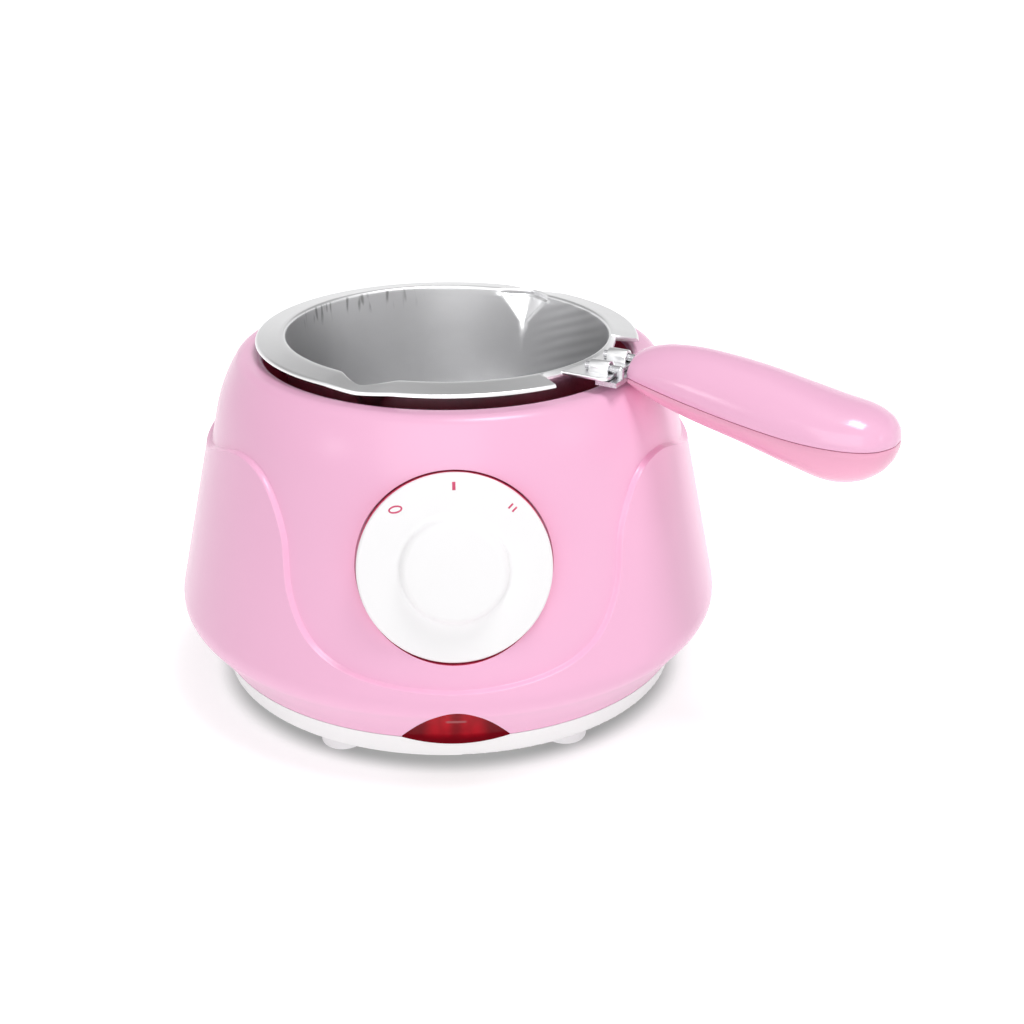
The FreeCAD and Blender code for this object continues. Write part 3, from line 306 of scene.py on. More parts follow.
def drawn_out(bm, faces, shift):
    """Faces extruded along a shift."""
    made = bmesh.ops.extrude_face_region(bm, geom=faces)
    corners = [part for part in made["geom"] if isinstance(part, bmesh.types.BMVert)]
    bmesh.ops.translate(bm, vec=shift, verts=corners)


def rounded(bm, edges, offset):
    bmesh.ops.bevel(bm, geom=edges, offset=offset, offset_type="OFFSET", affect="EDGES", segments=2,
                    profile=0.5, material=-1)


def sharp_edges(bm):
    return [edge for edge in bm.edges if edge.calc_face_angle(0.0) > SHARP_ANGLE]


def moved(bm, matrix):
    bmesh.ops.transform(bm, matrix=matrix, verts=bm.verts)
    return bm


def scratch(bm):
    mesh = bpy.data.meshes.new("scratch")
    bm.to_mesh(mesh)
    bm.free()
    made = bpy.data.objects.new("scratch", mesh)
    bpy.context.scene.collection.objects.link(made)
    return made


def combined(bm, tools, operation):
    """Closed shape cut or trimmed by other closed shapes."""
    whole = scratch(bm)
    helpers = [scratch(tool) for tool in tools]
    for helper in helpers:
        step = whole.modifiers.new("shape", "BOOLEAN")
        step.operation = operation
        step.solver = "EXACT"
        step.object = helper
    graph = bpy.context.evaluated_depsgraph_get()
    mesh = bpy.data.meshes.new_from_object(whole.evaluated_get(graph))
    made = bmesh.new()
    made.from_mesh(mesh)
    for used in [whole] + helpers:
        used_mesh = used.data
        bpy.data.objects.remove(used)
        bpy.data.meshes.remove(used_mesh)
    bpy.data.meshes.remove(mesh)
    bmesh.ops.remove_doubles(made, verts=made.verts, dist=MERGE_GAP)
    return made


def make_piece(name, bm, body, material, replaced=None, crisp=32.0):
    """Mesh object in metres that rides on a body, smooth but for edges sharper than the crisp angle."""
    limit = math.radians(crisp)
    for face in bm.faces:
        face.smooth = True
    for edge in bm.edges:
        edge.smooth = edge.calc_face_angle(0.0) < limit
    bmesh.ops.scale(bm, vec=(MM, MM, MM), verts=bm.verts)
    mesh = bpy.data.meshes.new(name)
    bm.to_mesh(mesh)
    bm.free()
    mesh.materials.append(material)
    made = bpy.data.objects.new(name, mesh)
    bpy.context.scene.collection.objects.link(made)
    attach(made, body)
    if replaced:
        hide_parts(replaced)
    return made


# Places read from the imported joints
def dial_matrix():
    """Dial's frame: its face in the XY plane, +Z out along the axis, +Y up its face."""
    joint = joints["dial_turn"]
    out = Vector(joint["axis"]).normalized()
    across = Vector((1, 0, 0))
    up = out.cross(across)
    place = Matrix((across, up, out)).transposed().to_4x4()
    place.translation = Vector(joint["pos_m"]) / MM
    return place


def handle_matrix():
    """Handle's frame: +X out along the handle, +Z up, about the pan's axis."""
    out = Vector(joints["handle_pull"]["axis"]).normalized()
    return Matrix((out, UP.cross(out), UP)).transposed().to_4x4()


# Shader helpers
def paint(red, green, blue):
    """Colour from its 8-bit screen values."""
    shares = [value / 255 for value in (red, green, blue)]
    linear = [s / 12.92 if s <= 0.04045 else ((s + 0.055) / 1.055) ** 2.4 for s in shares]
    return (*linear, 1.0)


def add_node(tree, kind, inputs=None, **settings):
    made = tree.nodes.new(kind)
    for name, value in settings.items():
        setattr(made, name, value)
    for name, value in (inputs or {}).items():
        socket = made.inputs[name]
        if isinstance(value, bpy.types.NodeSocket):
            tree.links.new(value, socket)
        else:
            socket.default_value = value
    return made


def reckon(tree, operation, *values):
    """Output of a Math node."""
    inputs = dict(enumerate(values))
    return add_node(tree, "ShaderNodeMath", inputs, operation=operation).outputs[0]


def times(tree, first, *others):
    """Product of several values."""
    for other in others:
        first = reckon(tree, "MULTIPLY", first, other)
    return first


def reckon_vector(tree, operation, output, *values):
    """Output of a Vector Math node."""
    inputs = dict(enumerate(values))
    return add_node(tree, "ShaderNodeVectorMath", inputs, operation=operation).outputs[output]


def spread(tree, value, low, high, start=0.0, end=1.0):
    """Value moved from one range to another."""
    inputs = {"Value": value, "From Min": start, "From Max": end, "To Min": low, "To Max": high}
    return add_node(tree, "ShaderNodeMapRange", inputs).outputs[0]


def eased(tree, value, start, end, high=1.0):
    """Value eased from 0 to a level between two limits."""
    inputs = {"Value": value, "From Min": start, "From Max": end, "To Max": high}
    return add_node(tree, "ShaderNodeMapRange", inputs, interpolation_type="SMOOTHSTEP").outputs[0]


def between(tree, value, rise, fall):
    """1 between two limits, with a straight fade at each."""
    return times(tree, spread(tree, value, 0.0, 1.0, *rise), spread(tree, value, 1.0, 0.0, *fall))


def noise(tree, spot, scale, detail, **more):
    inputs = {"Vector": spot, "Scale": scale, "Detail": detail, **more}
    return add_node(tree, "ShaderNodeTexNoise", inputs).outputs["Fac"]


def object_spot(tree):
    return add_node(tree, "ShaderNodeTexCoord").outputs["Object"]


def split(tree, vector):
    return add_node(tree, "ShaderNodeSeparateXYZ", {"Vector": vector}).outputs


def joined(tree, **parts):
    return add_node(tree, "ShaderNodeCombineXYZ", parts).outputs[0]


def shaded(tree, colour, value):
    """Colour made lighter or darker."""
    return add_node(tree, "ShaderNodeHueSaturation", {"Color": colour, "Value": value}).outputs["Color"]


def mixed(tree, share, one, two):
    inputs = {"Factor": share, "A": one, "B": two}
    return add_node(tree, "ShaderNodeMix", inputs, data_type="RGBA").outputs["Result"]


def shader_group(name, inputs, outputs):
    tree = bpy.data.node_groups.new(name, "ShaderNodeTree")
    for socket, (kind, value) in inputs.items():
        made = tree.interface.new_socket(socket, in_out="INPUT", socket_type=kind)
        made.default_value = value
    for socket, kind in outputs.items():
        tree.interface.new_socket(socket, in_out="OUTPUT", socket_type=kind)
    return tree, tree.nodes.new("NodeGroupInput").outputs, tree.nodes.new("NodeGroupOutput").inputs


def put_out(tree, out, colour, roughness, height, depth):
    """Feed a finish's outputs, with its normal from a bump."""
    tree.links.new(colour, out["Colour"])
    tree.links.new(roughness, out["Roughness"])
    bump = add_node(tree, "ShaderNodeBump", {"Height": height, "Distance": depth, "Strength": 1.0})
    tree.links.new(bump.outputs["Normal"], out["Normal"])


FLOAT = "NodeSocketFloat"
COLOUR = "NodeSocketColor"
VECTOR = "NodeSocketVector"
FINISH_OUT = {"Colour": COLOUR, "Roughness": FLOAT, "Normal": VECTOR}
PALE_GREY = (0.8, 0.8, 0.8, 1.0)


def moulded_finish():
    """Moulded plastic or rubber: fine mould grain, slow changes of shade and of gloss."""
    tree, given, out = shader_group("moulded_finish", {
        "Colour": (COLOUR, PALE_GREY),
        "Roughness": (FLOAT, 0.3),
        "Shade Change": (FLOAT, 0.03),
        "Gloss Change": (FLOAT, 0.06),
        "Grain Scale": (FLOAT, 900.0),
        "Grain Depth": (FLOAT, 0.00002),
    }, FINISH_OUT)
    spot = object_spot(tree)
    slow = noise(tree, spot, 16.0, 3.0)
    smear = noise(tree, spot, 60.0, 4.0, Distortion=0.8)
    grain = noise(tree, spot, given["Grain Scale"], 2.0)
    low = reckon(tree, "SUBTRACT", 1.0, given["Shade Change"])
    high = reckon(tree, "ADD", 1.0, given["Shade Change"])
    colour = shaded(tree, given["Colour"], spread(tree, slow, low, high, 0.3, 0.7))
    swing = times(tree, reckon(tree, "SUBTRACT", smear, 0.5), given["Gloss Change"])
    put_out(tree, out, colour, reckon(tree, "ADD", given["Roughness"], swing), grain, given["Grain Depth"])
    return tree


def turned_finish():
    """Metal spun or turned about the upright axis: fine rings, with slow stains."""
    tree, given, out = shader_group("turned_finish", {
        "Colour": (COLOUR, PALE_GREY),
        "Roughness": (FLOAT, 0.3),
        "Stain": (FLOAT, 0.1),
        "Ring Scale": (FLOAT, 900.0),
        "Ring Depth": (FLOAT, 0.00002),
        "Ring Gloss": (FLOAT, 0.12),
    }, FINISH_OUT)
    spot = object_spot(tree)
    parts = split(tree, spot)
    reach = reckon_vector(tree, "LENGTH", "Value", joined(tree, X=parts["X"], Y=parts["Y"]))
    rings = noise(tree, joined(tree, X=reach, Z=parts["Z"]), given["Ring Scale"], 3.0, Roughness=0.7)
    slow = noise(tree, spot, 22.0, 4.0, Distortion=0.6)
    low = reckon(tree, "SUBTRACT", 1.0, given["Stain"])
    colour = shaded(tree, given["Colour"], spread(tree, slow, low, 1.0, 0.35, 0.65))
    swing = times(tree, reckon(tree, "SUBTRACT", rings, 0.5), given["Ring Gloss"])
    put_out(tree, out, colour, reckon(tree, "ADD", given["Roughness"], swing), rings, given["Ring Depth"])
    return tree


# Lens finish with painted light: limits in metres, across from its middle and up from the table
FLUTE_STRETCH = (1.0, 0.0, 0.45)
FLUTE_SCALE = 260.0
FLUTE_DEPTH = 0.00004
FLANK_RISE = (0.0004, 0.0030)
FLANK_FALL = (0.005, 0.0105)
FLANK_SHARE = 0.7
LENS_FOOT_FADE = (0.0105, 0.0135)
TUBE_Z = 0.0197
TUBE_HEIGHT_FADE = (0.0009, 0.0003)
TUBE_LENGTH_FADE = (0.0034, 0.0022)


def flutes_and_painted_light():
    """Clear red moulding with painted light: lighter flanks, darker ends and middle, and a painted pale
    bar for the lamp tube behind it.
    """
    tree, given, out = shader_group("flutes_and_painted_light", {
        "Colour": (COLOUR, (0.2, 0.0, 0.01, 1.0)),
        "Light Colour": (COLOUR, (0.6, 0.01, 0.02, 1.0)),
        "Tube Colour": (COLOUR, (0.3, 0.1, 0.1, 1.0)),
        "Roughness": (FLOAT, 0.15),
    }, FINISH_OUT)
    spot = object_spot(tree)
    parts = split(tree, spot)
    long_way = reckon_vector(tree, "MULTIPLY", "Vector", spot, FLUTE_STRETCH)
    inputs = {"Vector": long_way, "Scale": FLUTE_SCALE}
    flutes = add_node(tree, "ShaderNodeTexVoronoi", inputs).outputs["Distance"]
    columns = spread(tree, flutes, 1.0, 0.5, 0.1, 0.75)
    # Painted light: lighter flanks, fading out towards the lens's foot.
    aside = reckon(tree, "ABSOLUTE", parts["X"])
    rise = eased(tree, aside, *FLANK_RISE, FLANK_SHARE)
    flank = reckon(tree, "SUBTRACT", rise, eased(tree, aside, *FLANK_FALL))
    flank = reckon(tree, "ADD", flank, 1 - FLANK_SHARE)
    share = times(tree, columns, flank, eased(tree, parts["Z"], *LENS_FOOT_FADE))
    red = mixed(tree, share, given["Colour"], given["Light Colour"])
    # Painted light: a pale bar where the lamp tube would show through.
    off_tube = reckon(tree, "ABSOLUTE", reckon(tree, "SUBTRACT", parts["Z"], TUBE_Z))
    tube = times(tree, eased(tree, off_tube, *TUBE_HEIGHT_FADE), eased(tree, aside, *TUBE_LENGTH_FADE))
    colour = mixed(tree, tube, red, given["Tube Colour"])
    roughness = reckon(tree, "ADD", given["Roughness"], times(tree, flutes, 0.04))
    put_out(tree, out, colour, roughness, flutes, FLUTE_DEPTH)
    return tree


# Pan's tone, with painted shade: limits in metres, and in radians round the pan
INSIDE_REACH = (0.0491, 0.0494)
UNDER_FLANGE = (0.1064, 0.1072)
WALL_FACING = (0.3, 0.8)
TICK_HEIGHT = (0.1035, 0.1075)
TICK_TURNS = ((1.70, 1.95), (2.60, 2.90))
RIPPLE_TURNS = ((0.05, 0.35), (0.7, 0.95))
TICK_SHADE = -0.42
RIPPLE_SHADE = 0.16
INSIDE_PAINTED_SHADE = -0.13
OUTSIDE_PAINTED_SHADE = -0.32


def pan_streaks_and_painted_shade():
    """Tone on a pan's wall: dark ticks under the rim, pale ripples, and painted shade that darkens the
    inside and greys the outside below the flange.
    """
    tree, given, out = shader_group("pan_streaks_and_painted_shade", {"Colour": (COLOUR, PALE_GREY)}, {"Colour": COLOUR})
    coordinates = add_node(tree, "ShaderNodeTexCoord").outputs
    parts = split(tree, coordinates["Object"])
    turn = reckon(tree, "ARCTAN2", parts["Y"], parts["X"])
    flat = joined(tree, X=parts["X"], Y=parts["Y"])
    inside = spread(tree, reckon_vector(tree, "LENGTH", "Value", flat), 1.0, 0.0, *INSIDE_REACH)
    away = reckon_vector(tree, "NORMALIZE", "Vector", flat)
    outward = reckon_vector(tree, "DOT_PRODUCT", "Value", coordinates["Normal"], away)
    inward = reckon(tree, "MULTIPLY", outward, -1.0)
    below = spread(tree, parts["Z"], 1.0, 0.0, *UNDER_FLANGE)
    outside = times(tree, eased(tree, outward, *WALL_FACING), below)
    columns = noise(tree, joined(tree, X=turn, Z=times(tree, parts["Z"], 4.0)), 24.0, 1.0)
    ticks = times(
        tree,
        spread(tree, columns, 0.0, 1.0, 0.57, 0.66),
        spread(tree, parts["Z"], 0.0, 1.0, *TICK_HEIGHT),
        inside,
        between(tree, turn, *TICK_TURNS),
    )
    climb = reckon(tree, "ADD", parts["Z"], times(tree, turn, 0.02))
    waves = add_node(tree, "ShaderNodeTexWave", {
        "Vector": joined(tree, X=times(tree, turn, 0.012), Z=climb),
        "Scale": 90.0,
        "Distortion": 3.0,
        "Detail": 2.0,
    }, bands_direction="Z").outputs["Fac"]
    wall = eased(tree, inward, *WALL_FACING)
    ripples = times(tree, waves, between(tree, turn, *RIPPLE_TURNS), inside, wall)
    # Painted shade: the inside is darkened and the outside below the flange greyed.
    value = 1.0
    for mask, shade in (
        (ticks, TICK_SHADE),
        (ripples, RIPPLE_SHADE),
        (inside, INSIDE_PAINTED_SHADE),
        (outside, OUTSIDE_PAINTED_SHADE),
    ):
        value = reckon(tree, "ADD", times(tree, mask, shade), value)
    tree.links.new(shaded(tree, given["Colour"], value), out["Colour"])
    return tree


MOULDED = moulded_finish()
TURNED = turned_finish()
FLUTED = flutes_and_painted_light()


def finished(name, group, values, **shader):
    """Material with a finish group feeding one Principled shader."""
    made = bpy.data.materials.new(name)
    made.use_nodes = True
    tree = made.node_tree
    surface = tree.nodes["Principled BSDF"]
    for socket, value in shader.items():
        surface.inputs[socket.replace("_", " ")].default_value = value
    finish = add_node(tree, "ShaderNodeGroup", None, node_tree=group)
    for socket, value in values.items():
        finish.inputs[socket].default_value = value
    for output, socket in (("Colour", "Base Color"), ("Roughness", "Roughness"), ("Normal", "Normal")):
        tree.links.new(finish.outputs[output], surface.inputs[socket])
    return made


def moulded(name, colour, roughness, shade=0.03, gloss=0.06, grain=(900.0, 0.00002), **shader):
    values = {
        "Colour": paint(*colour),
        "Roughness": roughness,
        "Shade Change": shade,
        "Gloss Change": gloss,
        "Grain Scale": grain[0],
        "Grain Depth": grain[1],
    }
    return finished(name, MOULDED, values, **shader)


def turned(name, colour, roughness, stain, rings=900.0):
    values = {"Colour": paint(*colour), "Roughness": roughness, "Stain": stain, "Ring Scale": rings}
    return finished(name, TURNED, values, Metallic=1.0)


def with_streaks_and_shade(metal):
    """Metal with dark ticks, pale ripples and painted shade laid over its colour."""
    tree = metal.node_tree
    base = tree.nodes["Principled BSDF"].inputs["Base Color"]
    marks = add_node(tree, "ShaderNodeGroup", None, node_tree=pan_streaks_and_painted_shade())
    tree.links.new(base.links[0].from_socket, marks.inputs["Colour"])
    tree.links.new(marks.outputs["Colour"], base)
    return metal


PINK = (250, 190, 222)
pink_gloss = moulded("pink_gloss_plastic", PINK, 0.24, shade=0.012, gloss=0.05, Specular_IOR_Level=0.36)
pink_handle = moulded("pink_gloss_plastic_handle", PINK, 0.15, shade=0.012, gloss=0.04)
# Painted shade: the handle's lower shell is the same pink plastic as the upper one, coloured deeper for
# the shade under the handle.
pink_keel_shaded = moulded("pink_gloss_plastic_painted_shade", (248, 176, 205), 0.24, shade=0.012, gloss=0.05)
# Painted shade: a deep red-pink, darker than the housing's pink plastic, for the shade in the well and in
# the dial's gap.
pink_painted_shade = moulded("pink_plastic_painted_shade", (226, 72, 110), 0.42, gloss=0.08)
white_gloss = moulded("white_gloss_plastic", (250, 249, 250), 0.34, shade=0.01, gloss=0.05)
white_satin = moulded("white_satin_plastic", (250, 250, 250), 0.42, shade=0.015)
pale_rubber = moulded("pale_rubber", (236, 234, 236), 0.62, grain=(1400.0, 0.00006))
dark_plastic = moulded("dark_plastic", (44, 44, 46), 0.5, shade=0.08)
mark_red = moulded("printed_pink_red", (208, 70, 110), 0.45, shade=0.08)
mica = moulded("mica_sheet", (190, 172, 136), 0.6, shade=0.12)
ceramic = moulded("ceramic", (228, 222, 208), 0.55, shade=0.05)
insulation = moulded("lead_sleeve", (222, 220, 212), 0.5, shade=0.05)
lamp_glass = moulded("lamp_glass", (250, 236, 228), 0.08, shade=0.02, Transmission_Weight=0.9)
# Painted shade on the pan: its inside darker and its outside below the flange greyer.
pan_metal = with_streaks_and_shade(turned("spun_aluminium", (244, 244, 245), 0.30, 0.10))
plate_metal = turned("turned_plate", (190, 190, 192), 0.40, 0.15, rings=500.0)
steel = turned("bright_steel", (205, 205, 208), 0.28, 0.12)
brass = turned("brass", (214, 180, 106), 0.33, 0.15)
# The lens's lighter flank colour and pale tube bar are painted light.
lens_red = finished("red_lens", FLUTED, {
    "Colour": paint(112, 6, 20),
    "Light Colour": paint(196, 14, 34),
    "Tube Colour": paint(166, 88, 92),
    "Roughness": 0.10,
}, Specular_IOR_Level=0.02)


# Housing
def flare_arc():
    """Centre, radius and end points of the concave run from the seam to the belly."""
    foot = Vector((SEAM_RADIUS, SEAM_Z))
    under = on_round(BELLY_CENTRE, BELLY_ROUND, BELLY_UNDER)
    chord = under - foot
    inward = Vector((-chord.y, chord.x)).normalized()
    radius = (chord.length_squared / 4 + FLARE_BOW ** 2) / (2 * FLARE_BOW)
    centre = (foot + under) / 2 + inward * (FLARE_BOW - radius)
    return centre, radius, foot, under


def side_line():
    """Points up the side with their outward normals: seam, flare, belly, cone, crown and lip."""
    centre, radius, foot, under = flare_arc()
    start = math.degrees(math.atan2(foot.y - centre.y, foot.x - centre.x)) % 360
    end = math.degrees(math.atan2(under.y - centre.y, under.x - centre.x)) % 360
    line = []
    for n in range(FLARE_STEPS):
        angle = blend(start, end, n / FLARE_STEPS)
        point = on_round(centre, radius, angle)
        line.append((point, (centre - point).normalized()))
    rounds = (
        (BELLY_CENTRE, BELLY_ROUND, BELLY_UNDER, CONE_LEAN, BELLY_STEPS),
        (CROWN_CENTRE, CROWN_ROUND, CONE_LEAN, CROWN_LEAN, CROWN_STEPS),
        (LIP_CENTRE, LIP_ROUND, CROWN_LEAN, 90.0, LIP_STEPS),
    )
    for middle, size, low, high, steps in rounds:
        for n in range(steps + 1):
            angle = blend(low, high, n / steps)
            line.append((on_round(middle, size, angle), on_round((0, 0), 1.0, angle)))
    return line


SIDE = side_line()
RUNS = [0.0]
for (before, _), (after, _) in zip(SIDE, SIDE[1:]):
    RUNS.append(RUNS[-1] + (after - before).length)
BELLY_RUN = RUNS[FLARE_STEPS + BELLY_STEPS]
LIP_RUN = RUNS[-1 - LIP_STEPS]
TOP_RUN = RUNS[-1]


def side_at(run):
    """Point and outward normal at a run up the side."""
    low, high = 0, len(RUNS) - 1
    while high - low > 1:
        middle = (low + high) // 2
        if RUNS[middle] <= run:
            low = middle
        else:
            high = middle
    span = RUNS[high] - RUNS[low]
    share = (run - RUNS[low]) / span if span > 1e-9 else 0.0
    point = SIDE[low][0].lerp(SIDE[high][0], share)
    normal = SIDE[low][1].lerp(SIDE[high][1], share).normalized()
    return point, normal


def run_at_height(z):
    """Run up the side at which the outline reaches a height."""
    low, high = 0.0, TOP_RUN
    for _ in range(40):
        middle = (low + high) / 2
        if side_at(middle)[0].y < z:
            low = middle
        else:
            high = middle
    return low


def apron_columns():
    """Columns of one quarter, evenly along the apron edge: (turn, run, radius at the edge)."""
    fine = []
    last = len(APRON_EDGE) - 1
    for n in range(last * APRON_STEPS):
        index = n // APRON_STEPS
        share = n / APRON_STEPS - index
        four = [Vector(APRON_EDGE[min(max(index + k, -last), last)]) for k in (-1, 0, 1, 2)]
        if index == 0:
            four[0] = Vector((-APRON_EDGE[1][0], APRON_EDGE[1][1]))
        a, b, c, d = four
        point = 0.5 * (2 * b + (c - a) * share + (2 * a - 5 * b + 4 * c - d) * share ** 2
                       + (3 * b - 3 * c + d - a) * share ** 3)
        run = run_at_height(point.y)
        radius = side_at(run)[0].x + SKIRT_PROUD / 2
        if point.x >= radius:
            break
        fine.append((math.asin(point.x / radius), run, radius))
    fine.append((math.pi / 2, fine[-1][1], fine[-1][2]))
    reach = [0.0]
    for one, two in zip(fine, fine[1:]):
        across = (two[0] - one[0]) * (one[2] + two[2]) / 2
        reach.append(reach[-1] + math.hypot(across, two[1] - one[1]))
    columns = []
    place = 0
    for n in range(QUARTER_COLUMNS + 1):
        wanted = reach[-1] * n / QUARTER_COLUMNS
        while place < len(reach) - 2 and reach[place + 1] < wanted:
            place += 1
        share = (wanted - reach[place]) / (reach[place + 1] - reach[place])
        one, two = fine[place], fine[place + 1]
        columns.append([blend(one[k], two[k], share) for k in range(3)])
    return columns


def with_slopes(columns):
    """Smooth the column runs a little and add the edge's slope at each."""
    count = len(columns)
    for _ in range(APRON_SMOOTHING):
        runs = [column[1] for column in columns]
        for n in range(1, count - 1):
            columns[n][1] = (runs[n - 1] + 2 * runs[n] + runs[n + 1]) / 4
    made = []
    for n, (turn, run, radius) in enumerate(columns):
        before = columns[max(n - 1, 0)]
        after = columns[min(n + 1, count - 1)]
        rise = 0.0 if n in (0, count - 1) else after[1] - before[1]
        slope = math.atan2(rise, (after[0] - before[0]) * radius)
        made.append((turn, run, slope))
    return made


COLUMNS = with_slopes(apron_columns())
FLARE_RINGS = [n / 22 for n in range(22)]
WALL_RINGS = [n / 14 for n in range(14)]
BAND_RINGS = [-4.0, -3.0, -2.2, -1.7, -1.3]
BAND_RINGS += [n / 4 for n in range(-4, 5)]
BAND_RINGS += [1.3, 1.8, 2.6, 4.0]
UPPER_RINGS = [n / 26 for n in range(1, 27)]
LIP_RINGS = [n / 10 for n in range(1, 11)]


def housing_stations(run, slope):
    """Stations up one column: (run, sideways shift, stand-out), from the seam to the top of the lip."""
    low = run - APRON_BAND * math.cos(slope)
    high = run + APRON_BAND * math.cos(slope)
    sideways = APRON_BAND * math.sin(slope)
    belly = min(BELLY_RUN, low - WALL_LEAST)
    stations = [(belly * share, 0.0, SKIRT_PROUD) for share in FLARE_RINGS]
    for share in WALL_RINGS:
        stations.append((blend(belly, low, share), sideways * soft_step(0, 1, share), SKIRT_PROUD))
    for across in BAND_RINGS:
        proud = SKIRT_PROUD * (1 - soft_step(-APRON_SOFT, APRON_SOFT, across))
        stations.append((run + across * math.cos(slope), -across * math.sin(slope), proud))
    for share in UPPER_RINGS:
        stations.append((blend(high, LIP_RUN, share), -sideways * (1 - soft_step(0, 1, share)), 0.0))
    for share in LIP_RINGS:
        stations.append((blend(LIP_RUN, TOP_RUN, share), 0.0, 0.0))
    return stations


def housing_column(index):
    """Points up one column of the housing, all round the shell's outside and down its bore."""
    quarter, within = divmod(index, QUARTER_COLUMNS)
    mirrored = quarter % 2 == 1
    turn, run, slope = COLUMNS[QUARTER_COLUMNS - within if mirrored else within]
    sign = -1 if mirrored else 1
    base = math.radians(90 * (quarter + mirrored))
    points = []
    for at, sideways, proud in housing_stations(run, slope):
        point, normal = side_at(at)
        lean = Vector((1, 0)).lerp(normal, soft_step(0.0, FOOT_RUN, at)).normalized()
        point = point + lean * proud
        angle = base + sign * (turn + sideways / point.x)
        points.append((point.x, point.y, angle))
    angle = base + sign * turn
    mouth = Vector((MOUTH_RADIUS + MOUTH_ROUND, TOP_Z - MOUTH_ROUND))
    for point in arc(mouth, MOUTH_ROUND, 90, 180, 8):
        points.append((point.x, point.y, angle))
    points.append((MOUTH_RADIUS, SEAM_Z, angle))
    return [Vector((r * math.sin(a), -r * math.cos(a), z)) for r, z, a in points]


def housing_inside():
    """Hollow of the housing, less the dial's cup."""
    steps = 20
    fine = BELLY_RUN * FINE_SHARE
    runs = [fine * n / steps for n in range(steps)]
    runs += [blend(fine, TOP_RUN, n / steps) for n in range(steps)]
    wall = [point - normal * HOUSING_WALL for point, normal in map(side_at, runs)]
    bottom = SEAM_Z - 3
    hollow = [(HOLLOW_RADIUS, bottom), (SEAM_RADIUS - HOUSING_WALL, bottom)]
    hollow += [(p.x, p.y) for p in wall if p.y > SEAM_Z]
    hollow += [(HOLLOW_RADIUS, TOP_Z - HOUSING_WALL)]
    cup = rod(DIAL_RADIUS + DIAL_GAP + POCKET_WALL, -POCKET_DEPTH - POCKET_FLOOR, POCKET_REACH, 128)
    return combined(spun(hollow, 180), [moved(cup, dial_matrix())], "DIFFERENCE")


def inlet_matrix():
    lean = math.radians(CONE_LEAN)
    place = Matrix.Rotation(lean - math.pi / 2, 4, "X")
    place.translation = Vector((0, side_at(run_at_height(INLET_Z))[0].x, INLET_Z))
    return place


def lamp_height(across, margin):
    """Height of the lamp's arch at a distance from its middle, drawn out by a margin."""
    share = along_table(LAMP_EDGE, across / (LAMP_HALF + margin))[1]
    return SEAM_Z + (LAMP_TOP_Z + margin - SEAM_Z) * share


def lamp_opening():
    """Arch-shaped block that cuts the lamp's window out of the front wall."""
    bm = bmesh.new()
    line = [LAMP_HALF * math.sin(math.pi / 2 * (n / 40 - 1)) for n in range(81)]
    corners = [(x, lamp_height(x, 0.0)) for x in line] + [(LAMP_HALF, 0.0), (-LAMP_HALF, 0.0)]
    front = bm.faces.new([bm.verts.new((x, WINDOW_FRONT, z)) for x, z in corners])
    drawn_out(bm, [front], (0, WINDOW_DEPTH, 0))
    tidy_shell(bm)
    return bm


def housing_mesh():
    columns = [housing_column(n) for n in range(4 * QUARTER_COLUMNS)]
    shell = laid_tube(len(columns[0]), len(columns), lambda ring, step: columns[step][ring], True)
    pocket = moved(rod(DIAL_RADIUS + DIAL_GAP, -POCKET_DEPTH, POCKET_REACH, 192), dial_matrix())
    inlet = moved(rod(INLET_RADIUS, -INLET_REACH, INLET_REACH, 64), inlet_matrix())
    return combined(shell, [housing_inside(), pocket, lamp_opening(), inlet], "DIFFERENCE")


def paint_gap_shade(piece, reach, high):
    """Give faces at a distance from the dial's axis, and below a height on it, the deep pink of painted
    shade, as in the dial's gap.
    """
    piece.data.materials.append(pink_painted_shade)
    from_dial = dial_matrix().inverted()
    for face in piece.data.polygons:
        middle = from_dial @ (face.center / MM)
        near = abs(math.hypot(middle.x, middle.y) - reach) < FACE_SLACK
        if near and -POCKET_DEPTH < middle.z < high:
            face.material_index = 1


housing = make_piece("housing_shell", housing_mesh(), "base", pink_gloss, "housing")
# Painted shade: the pocket wall round the dial is coloured deep pink for the shade in the gap.
paint_gap_shade(housing, DIAL_RADIUS + DIAL_GAP, POCKET_DEPTH)


# Dial
def dial_mesh():
    top = (GRIP_RADIUS - GRIP_ROUND, GRIP_HEIGHT - GRIP_ROUND)
    hollow = (GRIP_RADIUS + GRIP_FOOT, GRIP_FOOT)
    edge = (DIAL_RADIUS - DIAL_EDGE, -DIAL_EDGE)
    line = [(0, GRIP_HEIGHT)]
    line += arc(top, GRIP_ROUND, 90, 0, 10)
    line += arc(hollow, GRIP_FOOT, 180, 270, 8)
    line += arc(edge, DIAL_EDGE, 90, 0, 8)
    line += [
        (DIAL_RADIUS, -DIAL_DEPTH),
        (DIAL_RADIUS - DIAL_RIM, -DIAL_DEPTH),
        (DIAL_RADIUS - DIAL_RIM, -DIAL_FACE),
        (0, -DIAL_FACE),
    ]
    return moved(spun(line, 192), dial_matrix())


dial = make_piece("dial_disc", dial_mesh(), "dial", white_gloss, "dial_knob")
# Painted shade: the dial's rim side down in the gap is coloured deep pink.
paint_gap_shade(dial, DIAL_RADIUS, -DIAL_EDGE)


def mark_place(degrees):
    """Frame of a dial mark: +Y outwards along the dial's face."""
    turn = Matrix.Rotation(math.radians(-degrees), 4, "Z")
    return dial_matrix() @ turn @ Matrix.Translation((0, MARK_RADIUS, 0))


def mark_bar(width, length):
    bm = bmesh.new()
    bmesh.ops.create_cube(bm, size=1.0)
    bmesh.ops.scale(bm, vec=(width, length, MARK_HEIGHT), verts=bm.verts)
    rounded(bm, bm.edges[:], MARK_SOFT)
    return bm


